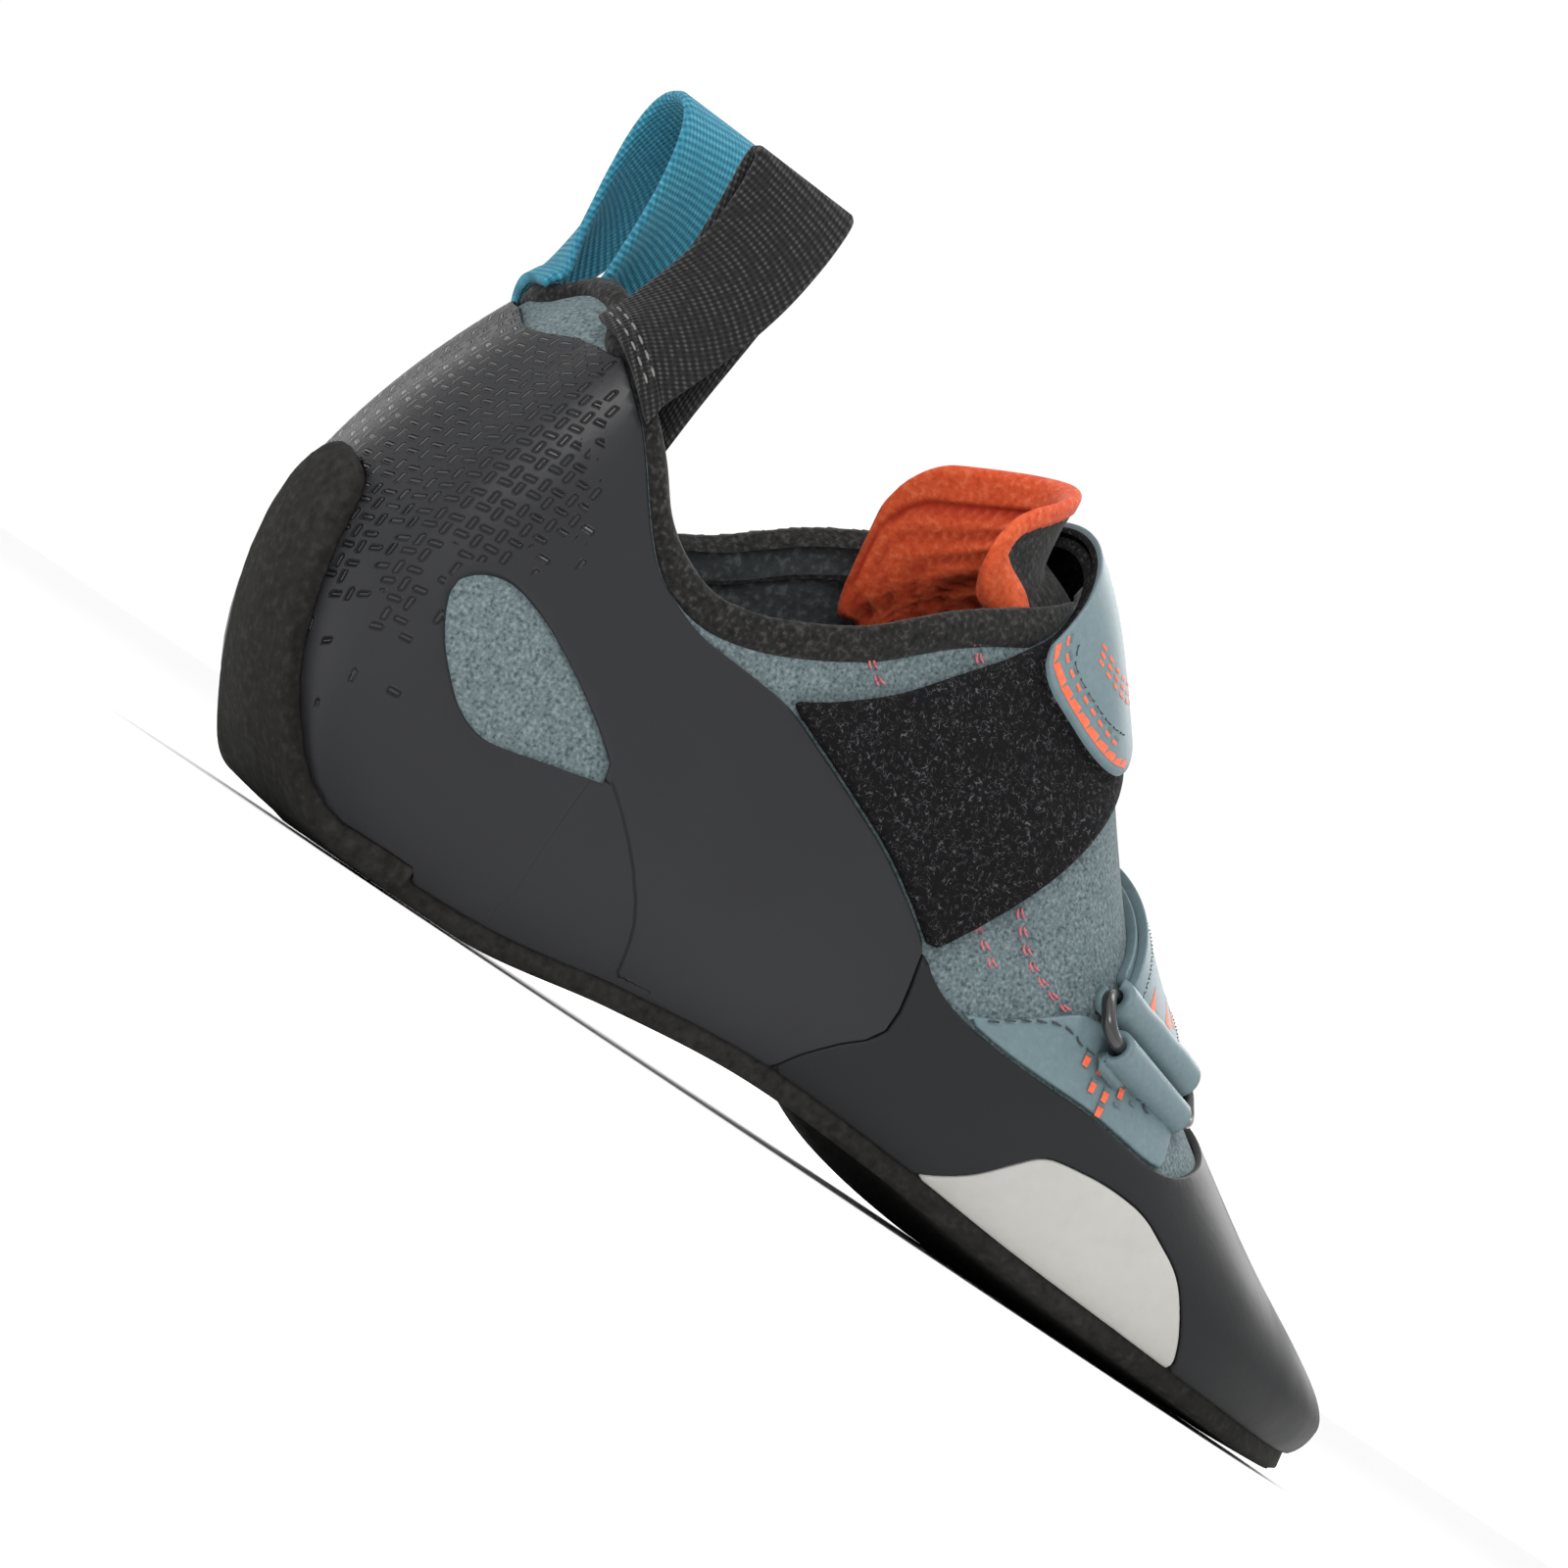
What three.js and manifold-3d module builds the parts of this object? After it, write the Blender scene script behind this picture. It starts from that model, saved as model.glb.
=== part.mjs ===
import * as THREE from "three";
import Module from "manifold-3d";

// A right-foot rock climbing shoe, standing unbent on its own sole.
// Frame: +X to the toe, +Y to the inner (medial) side, -Y to the outer side, +Z up, mm.
// The tables count x from a line at the back of the heel; the finished group is moved so that the
// origin lies on the floor at the middle of the heel's flat.

const wasm = await Module();
wasm.setup();
const { Manifold, CrossSection } = wasm;

// Driving sizes
const LENGTH = 250;
const BALL = 92;
const INSTEP = 100;
const WALL = 2;
const GAP = 0.3;
const RAND = 1.3;
const SOLE = 4.2;
const TRIM = 1.3;
const STRAP = 2;
const PANEL = 1.2;
const WEBBING = 1.6;
const WIRE = 2.4;
const PAD = 3.4;
const INSOLE = 2.5;
const EDGE = 3;
const HEEL_REST = 40;
const STRIP_TOP = 50;
const STRIP_HALF = 11;
const BINDING = 7.5;
const BAR_ROOM = 0.25;
const RING_WIDTH = 9;
const TOE_RING_WIDTH = 7.6;
const RING_CORNER = 2.6;
const LOOP_HEIGHT = 31;
const FINE = 0.02;
const FAR = 320;

// Plan of the last, a row per station from heel to toe.
// spine x and the two side x are shares of LENGTH; every y and tuck is a share of BALL.
// swell is the share of the height at which the side is widest; full is how square the top is.
// spine x, y, outer x, y, inner x, y, tuck outer, tuck inner, swell, full outer, full inner
const STATIONS = [
  [0.232, 0.0, 0.009, 0.004, 0.009, 0.004, 0.27, 0.27, 0.26, 1.5, 1.5],
  [0.24, 0.0, 0.022, -0.13, 0.018, 0.148, 0.23, 0.24, 0.255, 1.56, 1.56],
  [0.252, 0.0, 0.048, -0.233, 0.038, 0.254, 0.14, 0.17, 0.24, 1.78, 1.76],
  [0.272, 0.0, 0.102, -0.298, 0.096, 0.308, 0.08, 0.135, 0.23, 2.02, 2.0],
  [0.308, 0.0, 0.192, -0.328, 0.19, 0.32, 0.054, 0.145, 0.22, 2.1, 2.05],
  [0.364, 0.005, 0.3, -0.35, 0.3, 0.318, 0.043, 0.155, 0.25, 2.05, 2.0],
  [0.428, 0.012, 0.404, -0.378, 0.404, 0.331, 0.043, 0.15, 0.27, 1.92, 1.95],
  [0.504, 0.024, 0.504, -0.422, 0.508, 0.375, 0.038, 0.13, 0.25, 1.82, 1.95],
  [0.584, 0.048, 0.592, -0.463, 0.608, 0.477, 0.033, 0.06, 0.23, 1.75, 2.0],
  [0.664, 0.074, 0.68, -0.474, 0.704, 0.556, 0.027, 0.033, 0.23, 1.7, 2.1],
  [0.744, 0.096, 0.776, -0.426, 0.8, 0.565, 0.027, 0.027, 0.27, 1.75, 2.25],
  [0.816, 0.12, 0.856, -0.325, 0.884, 0.51, 0.027, 0.027, 0.33, 1.82, 2.4],
  [0.876, 0.146, 0.92, -0.178, 0.937, 0.415, 0.027, 0.027, 0.38, 1.92, 2.45],
  [0.912, 0.17, 0.963, -0.002, 0.971, 0.302, 0.027, 0.027, 0.42, 2.05, 2.4],
  [0.934, 0.172, 0.985, 0.158, 0.985, 0.158, 0.027, 0.027, 0.44, 2.15, 2.2],
];

// Heights along the last: x share of LENGTH, z share of INSTEP.
// The ridge is the instep line; behind the collar it is only a helper above the opening.
const RIDGE = [
  [-0.04, 1.28], [0.08, 1.28], [0.16, 1.265], [0.24, 1.225], [0.32, 1.17], [0.38, 1.115],
  [0.44, 1.045], [0.48, 0.98], [0.52, 0.88], [0.56, 0.765], [0.6, 0.655], [0.68, 0.5],
  [0.752, 0.385], [0.82, 0.292], [0.888, 0.222], [0.94, 0.175], [0.98, 0.14], [1.008, 0.115],
];
const FLOOR_OUTER = [
  [-0.02, 0.16], [0.04, 0.09], [0.1, 0.054], [0.2, 0.048], [0.3, 0.084], [0.4, 0.108],
  [0.5, 0.1], [0.6, 0.08], [0.7, 0.068], [0.8, 0.058], [0.88, 0.052], [0.98, 0.06],
];
const FLOOR_INNER = [
  [-0.02, 0.16], [0.04, 0.1], [0.1, 0.082], [0.2, 0.098], [0.3, 0.16], [0.4, 0.195],
  [0.5, 0.165], [0.6, 0.095], [0.7, 0.056], [0.8, 0.046], [0.88, 0.044], [0.98, 0.054],
];
const FLOOR_MIDDLE = [
  [-0.02, 0.16], [0.04, 0.09], [0.1, 0.046], [0.2, 0.042], [0.3, 0.088], [0.4, 0.13],
  [0.5, 0.115], [0.6, 0.062], [0.68, 0.043], [0.8, 0.041], [0.88, 0.041], [0.98, 0.052],
];

// A smooth curve through rows of two columns, straight beyond its ends.
function through(rows, q) {
  const last = rows.length - 1;
  const rate = (k) => (rows[k + 1][1] - rows[k][1]) / (rows[k + 1][0] - rows[k][0]);
  const slope = (k) => {
    if (k === 0) return rate(0);
    if (k === last) return rate(last - 1);
    const before = rows[k][0] - rows[k - 1][0];
    const after = rows[k + 1][0] - rows[k][0];
    return (rate(k - 1) * after + rate(k) * before) / (before + after);
  };
  if (q <= rows[0][0]) return rows[0][1] + slope(0) * (q - rows[0][0]);
  if (q >= rows[last][0]) return rows[last][1] + slope(last) * (q - rows[last][0]);
  let k = 0;
  while (q > rows[k + 1][0]) k += 1;
  const span = rows[k + 1][0] - rows[k][0];
  const t = (q - rows[k][0]) / span;
  const s = t * t * (3 - 2 * t);
  const lift = t * (1 - t) * (1 - t) * slope(k) - t * t * (1 - t) * slope(k + 1);
  return rows[k][1] * (1 - s) + rows[k + 1][1] * s + lift * span;
}

// Height of a named curve at x, both in mm
const heightAt = (rows, x) => INSTEP * through(rows, x / LENGTH);
// Side-view points: x a share of LENGTH and z a share of INSTEP, made into mm
const sideView = (rows) => rows.map(([x, z]) => [LENGTH * x, INSTEP * z]);
// Top-view points: x a share of LENGTH and y a share of BALL
const topView = (rows) => rows.map(([x, y]) => [LENGTH * x, BALL * y]);

// One pass round the shoe: heel, outer side, toe, inner side
const TOE_STATION = STATIONS.length - 1;
const LAP = 2 * TOE_STATION;
const onLap = (k) => {
  const n = ((k % LAP) + LAP) % LAP;
  return n <= TOE_STATION ? [STATIONS[n], false] : [STATIONS[LAP - n], true];
};
function column(outerColumn, innerColumn, u) {
  const k = Math.floor(u);
  const t = u - k;
  const value = (n) => {
    const [row, inner] = onLap(n);
    return row[inner ? innerColumn : outerColumn];
  };
  const [a, b, c, d] = [value(k - 1), value(k), value(k + 1), value(k + 2)];
  const bend = (2 * a - 5 * b + 4 * c - d) * t * t + (3 * b - a - 3 * c + d) * t * t * t;
  return 0.5 * (2 * b + (c - a) * t + bend);
}

// The section line of the last at lap position u
function sectionAt(u) {
  const spine = [LENGTH * column(0, 0, u), BALL * column(1, 1, u)];
  const side = [LENGTH * column(2, 4, u), BALL * column(3, 5, u)];
  const reach = Math.hypot(side[0] - spine[0], side[1] - spine[1]);
  const aim = [(side[0] - spine[0]) / reach, (side[1] - spine[1]) / reach];
  const tuck = BALL * column(6, 7, u);
  return { spine, reach, aim, tuck, swell: column(8, 8, u), full: column(9, 10, u) };
}

// A point of the last's skin. s runs 0 to 1 under the foot, 1 to 2 up to the widest line,
// 2 to 3 over to the ridge; out moves the skin outwards.
function skin(u, s, out) {
  const { spine, reach, aim, tuck, swell, full } = sectionAt(u);
  const bottom = reach - tuck;
  const turn = (Math.max(s - 1, 0) % 1 || (s > 1 ? 1 : 0)) * (Math.PI / 2);
  let r = bottom * Math.min(s, 1);
  if (s > 1 && s <= 2) r = bottom + (tuck + out) * Math.sin(turn);
  if (s > 2) r = (reach + out) * Math.cos(turn) ** (2 / full);
  if (s >= 3) r = 0;
  const x = spine[0] + aim[0] * r;
  const y = spine[1] + aim[1] * r;
  const side = aim[1] < 0 ? FLOOR_OUTER : FLOOR_INNER;
  const middle = heightAt(FLOOR_MIDDLE, x);
  const blend = Math.min(r / bottom, 1) ** 2 * Math.abs(aim[1]);
  const floor = middle + (heightAt(side, x) - middle) * blend;
  const rise = heightAt(RIDGE, x) - floor;
  const widest = floor + swell * rise;
  let z = floor - out;
  if (s > 1 && s <= 2) z = widest - (swell * rise + out) * Math.cos(turn);
  if (s > 2) z = widest + ((1 - swell) * rise + out) * Math.sin(turn) ** (2 / full);
  return [x, y, z];
}

// Lap positions and levels shared by every form, so that neighbours' facets run parallel
const SIDE_STEPS = [0, 0.5, 1, 1.5, 2, 2.5, 3, 3.5, 4, 4.5, 5, 5.5, 6, 6.5, 7, 7.5, 8, 8.5, 9,
  9.5, 10, 10.5, 11, 11.5, 12, 12.5, 13, 13.5, 14];
const LAP_STEPS = [...SIDE_STEPS, ...SIDE_STEPS.slice(1, -1).map((u) => LAP - u).reverse()];
const LEVELS = [0, 0.65, 1, 1.35, 1.68, 2, 2.16, 2.32, 2.47, 2.61, 2.74, 2.85, 2.94, 3];

// A closed solid from rows of points; the points that coincide are joined.
function solidFrom(triangles) {
  const index = new Map();
  const places = [];
  const faces = [];
  for (const triangle of triangles) {
    const ids = triangle.map((p) => {
      const key = p.map((v) => Math.round(v * 5000)).join(",");
      if (!index.has(key)) {
        index.set(key, index.size);
        places.push(...p);
      }
      return index.get(key);
    });
    if (new Set(ids).size === 3) faces.push(...ids);
  }
  const mesh = new wasm.Mesh({
    numProp: 3,
    vertProperties: new Float32Array(places),
    triVerts: new Uint32Array(faces),
  });
  mesh.merge();
  const made = new Manifold(mesh);
  return made.volume() < 0 ? solidFrom(triangles.map(([a, b, c]) => [a, c, b])) : made;
}

// Two triangles of a four-sided patch
const quad = (a, b, c, d) => [[a, b, c], [a, c, d]];

// The whole last, closed over the ankle, with its skin moved outwards by out
function form(out) {
  const rows = LAP_STEPS.map((u) => LEVELS.map((s) => skin(u, s, out)));
  const triangles = [];
  rows.forEach((row, i) => {
    const next = rows[(i + 1) % rows.length];
    for (let k = 0; k + 1 < row.length; k += 1)
      triangles.push(...quad(row[k], next[k], next[k + 1], row[k + 1]));
  });
  return solidFrom(triangles);
}
const shell = (inner, outer) => form(outer).subtract(form(inner));

// The main body of a solid, without crumbs left by a cut
const largest = (solid) => solid.decompose().sort((a, b) => b.volume() - a.volume())[0];

// Straight cutters: a closed outline pushed through along one axis
const area = (line) =>
  line.reduce((sum, [x, y], k) => {
    const [nx, ny] = line[(k + 1) % line.length];
    return sum + (x * ny - nx * y) / 2;
  }, 0);
const outline = (line) => new CrossSection([area(line) < 0 ? [...line].reverse() : line]);
// side-view outline of x, z points kept between two y values
const sideCut = (line, fromY, toY) =>
  outline(line).extrude(toY - fromY).rotate([90, 0, 0]).translate([0, toY, 0]);
// top-view outline of x, y points kept between two z values
const topCut = (line, fromZ, toZ) => outline(line).extrude(toZ - fromZ).translate([0, 0, fromZ]);
// back-view outline of y, z points kept between two x values
const backCut = (line, fromX, toX) =>
  outline(line).extrude(toX - fromX).rotate([90, 0, 90]).translate([fromX, 0, 0]);
// Points moved along x and z
const moved = (line, dx, dz) => line.map(([x, z]) => [x + dx, z + dz]);
const outerSide = (line) => sideCut(line, -FAR, 0.001);
const innerSide = (line) => sideCut(line, -0.001, FAR);
const bothSides = (line) => sideCut(line, -FAR, FAR);

// Collar line seen from the side, heel to throat
const COLLAR = sideView([
  [-0.02, 0.99], [0.048, 0.96], [0.07, 0.935], [0.092, 0.87], [0.13, 0.763], [0.152, 0.694],
  [0.177, 0.654], [0.204, 0.637], [0.236, 0.652], [0.268, 0.686], [0.3, 0.73], [0.324, 0.777],
  [0.35, 0.826], [0.38, 0.87], [0.404, 0.9],
]);
// The slit over the instep, half of its width along the shoe
const THROAT = topView([
  [0.32, 0.1685], [0.384, 0.1685], [0.416, 0.1522], [0.46, 0.125], [0.54, 0.1033], [0.64, 0.0924],
  [0.688, 0.0652], [0.708, 0.0054],
]);
const middleY = (x) => BALL * through(STATIONS.map((row) => [row[0], row[1]]), x / LENGTH);

// Everything above the collar line, raised by lift
function aboveCollar(lift) {
  const [heel, ankle] = [COLLAR[0], COLLAR[COLLAR.length - 1]];
  const ridge = [[ankle[0] + 11, ankle[1] + 6 + lift], [ankle[0] + 24, FAR], [-FAR, FAR]];
  return bothSides([...moved(COLLAR, 0, lift), ...ridge, [-FAR, heel[1] + lift]]);
}
// The slit, grown on each side
function throat(grow) {
  const end = THROAT.length - 1;
  const side = (sign) =>
    THROAT.map(([x, half], k) => [x + (k === end ? grow : 0), middleY(x) + sign * (half + grow)]);
  return topCut([...side(1), ...side(-1).reverse()], 0.4 * INSTEP, FAR);
}

// Plan line of the feather, where the side meets the sole, moved outwards by grow
const featherPlan = (grow) =>
  LAP_STEPS.map((u) => {
    const { spine, reach, aim, tuck } = sectionAt(u);
    const r = reach - tuck + grow;
    return [spine[0] + aim[0] * r, spine[1] + aim[1] * r];
  });
// The same line seen from one side, as x and z
const featherSide = (inner) =>
  SIDE_STEPS.filter((u) => u >= 3)
    .map((u) => skin(inner ? LAP - u : u, 1, 0))
    .map(([x, , z]) => [x, z]);

// What belongs to the sole: below the feather, plus the strip up the back of the heel
const STRIP_FOOT = [[0.1326, 0.17], [0.163, 0.105], [0.2065, 0.072], [0.2717, 0.062], [0.5, 0.059]];
const ARCH = sideView([[0.58, 0.24], [0.66, 0.105]]);
function soleZone(grow) {
  const below = (inner) => {
    const line = featherSide(inner).map(([x, z]) => [x, z + 0.1 + grow]);
    const end = line[line.length - 1];
    const start = line[0];
    return [[start[0] - 10, start[1]], ...line, [FAR, end[1]], [FAR, -FAR], [start[0] - 10, -FAR]];
  };
  const foot = STRIP_FOOT.map(([y, z]) => [BALL * y, INSTEP * z]);
  const strip = [[STRIP_HALF - 0.8, STRIP_TOP], [STRIP_HALF, STRIP_TOP - 6], [STRIP_HALF, 0.26 * INSTEP]];
  const right = [...strip, ...foot].map(([y, z]) => [y + grow, z + grow]);
  const left = [...right].reverse().map(([y, z]) => [-y, z]);
  const wide = BALL / 2;
  const heel = backCut([...right, [wide, -FAR], [-wide, -FAR], ...left], -FAR, 0.132 * LENGTH);
  const arch = bothSides([[-FAR, ARCH[0][1]], ...ARCH, [FAR, ARCH[1][1]], [FAR, -FAR], [-FAR, -FAR]]);
  const under = topCut(featherPlan(-0.5), -FAR, 0.3 * INSTEP).intersect(arch);
  return Manifold.union([outerSide(below(false)), innerSide(below(true)), heel, under]);
}

// Side-view lines of the rubber parts; the outer side's are read off the photo
const BAND_FRONT = sideView([
  [0.084, 0.865], [0.094, 0.83], [0.112, 0.775], [0.132, 0.705], [0.148, 0.655], [0.164, 0.618],
  [0.184, 0.594], [0.208, 0.576], [0.232, 0.572], [0.256, 0.569], [0.282, 0.562], [0.316, 0.533],
  [0.352, 0.499], [0.384, 0.466], [0.416, 0.421], [0.44, 0.38],
]);
const TOE_TOP = sideView([
  [0.44, 0.38], [0.454, 0.352], [0.472, 0.332], [0.496, 0.32], [0.524, 0.313], [0.552, 0.311],
  [0.588, 0.31], [0.62, 0.302], [0.648, 0.295], [0.672, 0.3], [0.696, 0.32], [0.728, 0.36],
  [0.768, 0.44], [0.8, 0.6],
]);
const SEAM = sideView([
  [0.44, 0.377], [0.4496, 0.252], [0.4304, 0.194], [0.412, 0.133], [0.402, 0.04], [0.402, -0.2],
]);
const BALL_PANEL = sideView([
  [0.52, 0.096], [0.5348, 0.118], [0.5496, 0.147], [0.564, 0.187], [0.5788, 0.22],
  [0.604, 0.232], [0.63, 0.236], [0.658, 0.23], [0.68, 0.21], [0.702, 0.184], [0.72, 0.145],
  [0.734, 0.11], [0.746, 0.075],
]);
const WINDOW = sideView([
  [0.0652, 0.456], [0.076, 0.475], [0.0888, 0.482], [0.106, 0.474], [0.124, 0.458],
  [0.1468, 0.431], [0.168, 0.402], [0.1884, 0.37], [0.2108, 0.323], [0.196, 0.307],
  [0.17, 0.292], [0.144, 0.276], [0.1252, 0.269], [0.1084, 0.28], [0.094, 0.304],
  [0.0764, 0.351], [0.0656, 0.398], [0.062, 0.433],
]);

const SOLE_OPEN = sideView([[0.6, 0.12], [1.08, 0.12], [1.08, 0.4], [0.6, 0.4]]);

const wall = form(0).subtract(form(-WALL));
const soleShare = soleZone(GAP);
const skinOver = (inner, outer) => shell(inner, outer).subtract(soleShare);

function makeUpper() {
  const opening = featherPlan(-9).filter(([x]) => x > 0.064 * LENGTH);
  const under = topCut(opening, -FAR, 0.23 * INSTEP).subtract(bothSides(SOLE_OPEN));
  return wall.subtract(aboveCollar(0)).subtract(throat(0)).subtract(under);
}

// The full-length outsole with its strip up the heel; z = 0 cuts the two flats it stands on
function makeOutsole() {
  const heelEnd = 0.176 * LENGTH;
  const plan = featherPlan(EDGE).map(([x, y]) => (x < heelEnd ? [x - 40, y * 2] : [x, y]));
  const floor = topCut([[-FAR, -FAR], [FAR, -FAR], [FAR, FAR], [-FAR, FAR]], 0, FAR);
  const top = [[-FAR, STRIP_TOP - 7], [-3, STRIP_TOP - 5], [4, STRIP_TOP + 2]];
  const slope = bothSides([...top, [0.08 * LENGTH, FAR], [-FAR, FAR]]);
  return shell(GAP, GAP + SOLE)
    .intersect(soleZone(0))
    .intersect(topCut(plan, -FAR, FAR))
    .intersect(floor)
    .subtract(slope);
}

// Rubber wrapped round the heel and forward as a tension band on both sides
function heelRandZone() {
  const seam = moved(SEAM, -GAP / 2, 0);
  return bothSides([[-FAR, BAND_FRONT[0][1]], ...BAND_FRONT.slice(0, -1), ...seam, [-FAR, -FAR]]);
}
function makeHeelRand() {
  return skinOver(GAP, GAP + RAND).intersect(heelRandZone()).subtract(outerSide(WINDOW));
}

// Rubber round the toe, up over its top and back along both sides to the seam
const ABOVE_TOE = sideView([[1.16, 0.6]]);
const PANEL_FOOT = sideView([[0.736, 0.065], [0.728, -0.2], [0.536, -0.2], [0.53, 0.09]]);
function makeToeRand() {
  const seam = moved(SEAM, GAP / 2, 0).reverse();
  const zone = bothSides([...seam, ...TOE_TOP.slice(1), ...ABOVE_TOE, [ABOVE_TOE[0][0], -FAR]]);
  const [start, end] = [BALL_PANEL[0], BALL_PANEL[BALL_PANEL.length - 1]];
  const from = [start[0] - 1.5, start[1] - 0.8];
  const to = [end[0] + 1.5, end[1] - 3.5];
  const panel = [from, ...BALL_PANEL, to, [to[0], -FAR], [from[0], -FAR]];
  return skinOver(GAP, GAP + RAND).intersect(zone).subtract(outerSide(panel));
}
function makeBallPanel() {
  const panel = [...moved(BALL_PANEL.slice(1, -1), 0, -GAP), ...PANEL_FOOT];
  return skinOver(GAP, GAP + RAND).intersect(outerSide(panel));
}

// Binding folded over the collar edge, stopped by the rubber and by the instep strap
function makeCollarTrim() {
  const keep = aboveCollar(-BINDING)
    .subtract(aboveCollar(TRIM + GAP))
    .subtract(throat(0.6));
  const inside = shell(-WALL - GAP - TRIM, GAP + TRIM).intersect(keep);
  const edge = shell(-WALL - GAP, GAP).subtract(aboveCollar(GAP));
  const line = moved(BAND_FRONT, GAP, GAP + 0.1);
  const below = bothSides([[-FAR, line[0][1]], ...line, [line[line.length - 1][0], -FAR], [-FAR, -FAR]]);
  const rubber = shell(-WALL / 2, GAP + RAND + 0.2).intersect(below);
  const rear = moved(INSTEP_REAR, -0.5, 0.5);
  const under = rear[0][1] - 7;
  const strap = bothSides([...rear, [FAR, rear[rear.length - 1][1]], [FAR, under], [rear[0][0], under]]);
  return largest(inside.subtract(edge).subtract(rubber).subtract(strap));
}

// Height of the skin above a point of the top, in front of the ankle
function roof(x, y, out) {
  const outer = y < middleY(x);
  const across = (u) => {
    const { spine, aim } = sectionAt(outer ? u : LAP - u);
    return aim[0] * (y - spine[1]) - aim[1] * (x - spine[0]);
  };
  let low = 2;
  let high = TOE_STATION - 1;
  const lowSign = Math.sign(across(low));
  for (let k = 0; k < 30; k += 1) {
    const mid = (low + high) / 2;
    if (Math.sign(across(mid)) === lowSign) low = mid;
    else high = mid;
  }
  const u = outer ? low : LAP - low;
  const { spine, reach, full } = sectionAt(u);
  const share = Math.min(Math.hypot(x - spine[0], y - spine[1]) / (reach + out), 1);
  const turn = Math.acos(share ** (full / 2)) / (Math.PI / 2);
  return skin(u, 2 + Math.max(turn, 0.001), out)[2];
}

// A solid between two matching grids of points
function between(top, bottom) {
  const triangles = [];
  const rows = top.length;
  const across = top[0].length;
  for (let i = 0; i + 1 < rows; i += 1)
    for (let k = 0; k + 1 < across; k += 1) {
      triangles.push(...quad(top[i][k], top[i + 1][k], top[i + 1][k + 1], top[i][k + 1]));
      triangles.push(...quad(bottom[i][k], bottom[i][k + 1], bottom[i + 1][k + 1], bottom[i + 1][k]));
    }
  const edge = (a, b) => triangles.push(...quad(top[a[0]][a[1]], top[b[0]][b[1]],
    bottom[b[0]][b[1]], bottom[a[0]][a[1]]));
  for (let k = 0; k + 1 < across; k += 1) {
    edge([0, k], [0, k + 1]);
    edge([rows - 1, k + 1], [rows - 1, k]);
  }
  for (let i = 0; i + 1 < rows; i += 1) {
    edge([i + 1, 0], [i, 0]);
    edge([i, across - 1], [i + 1, across - 1]);
  }
  return solidFrom(triangles);
}

// Tongue stations from its front end to its free top: x and z of the middle, half width,
// how far the sides lag behind and the height of the sides, as shares of LENGTH, INSTEP,
// BALL, LENGTH and INSTEP. A height of 0 follows the last.
const TONGUE = [
  [0.736, 0, 0.087, 0, 0], [0.692, 0, 0.1087, 0, 0], [0.648, 0, 0.1304, 0, 0],
  [0.608, 0, 0.1522, 0, 0], [0.568, 0, 0.1739, 0, 0], [0.528, 0, 0.2011, 0, 0],
  [0.496, 0, 0.2174, 0, 0], [0.472, 0, 0.2228, 0, 0], [0.444, 0, 0.208, 0.016, 0],
  [0.44, 0.99, 0.19, 0.034, 0], [0.438, 1.06, 0.188, 0.054, 0],
  [0.436, 1.115, 0.1957, 0.066, 0.97], [0.434, 1.16, 0.1902, 0.074, 1.05],
];
const UNDER_BINDING = 0.464;
function tonguePoint([xShare, zShare, halfShare, lagShare, sideShare], share, under) {
  const [x, half, lag] = [LENGTH * xShare, BALL * halfShare, LENGTH * lagShare];
  const y = middleY(x) + share * half;
  const back = x - lag * share * share;
  const beyond = (at) => at - UNDER_BINDING * LENGTH;
  const room = (at) => (beyond(at) > 0 ? 0.9 + 0.03 * beyond(at) : TRIM + 1.6);
  const laid = (at, across) => roof(at, across, -WALL - room(at) - under);
  if (!zShare) return [back, y, laid(back, y)];
  const level = INSTEP * sideShare - 0.6 * under;
  const side = sideShare ? level : laid(x - lag, middleY(x) + Math.sign(share) * half);
  const middle = INSTEP * zShare - 0.55 * under;
  const height = middle + (side - middle) * share * share;
  return [back - 0.83 * under * (1 - 0.4 * share * share), y, height];
}
function makeTongue() {
  const shares = [-1, -0.8, -0.6, -0.35, 0, 0.35, 0.6, 0.8, 1];
  const surface = (under) => TONGUE.map((row) => shares.map((share) => tonguePoint(row, share, under)));
  return between(surface(0), surface(PAD));
}

function makeInsole() {
  const line = SIDE_STEPS.filter((u) => u >= 3).map((u) => {
    const a = skin(u, 1, 0);
    const b = skin(LAP - u, 1, 0);
    return [(a[0] + b[0]) / 2, Math.max(a[2], b[2]) + WALL + GAP + INSOLE + 0.2];
  });
  const [start, end] = [0.12 * INSTEP, line[line.length - 1][1]];
  const below = bothSides([[-FAR, start], ...line, [FAR, end], [FAR, -FAR], [-FAR, -FAR]]);
  const plan = featherPlan(-3).map(([x, y]) => [Math.max(x, 0.088 * LENGTH), y]);
  return shell(-WALL - GAP - INSOLE, -WALL - GAP)
    .intersect(topCut(plan, -FAR, FAR))
    .intersect(below);
}

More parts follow.
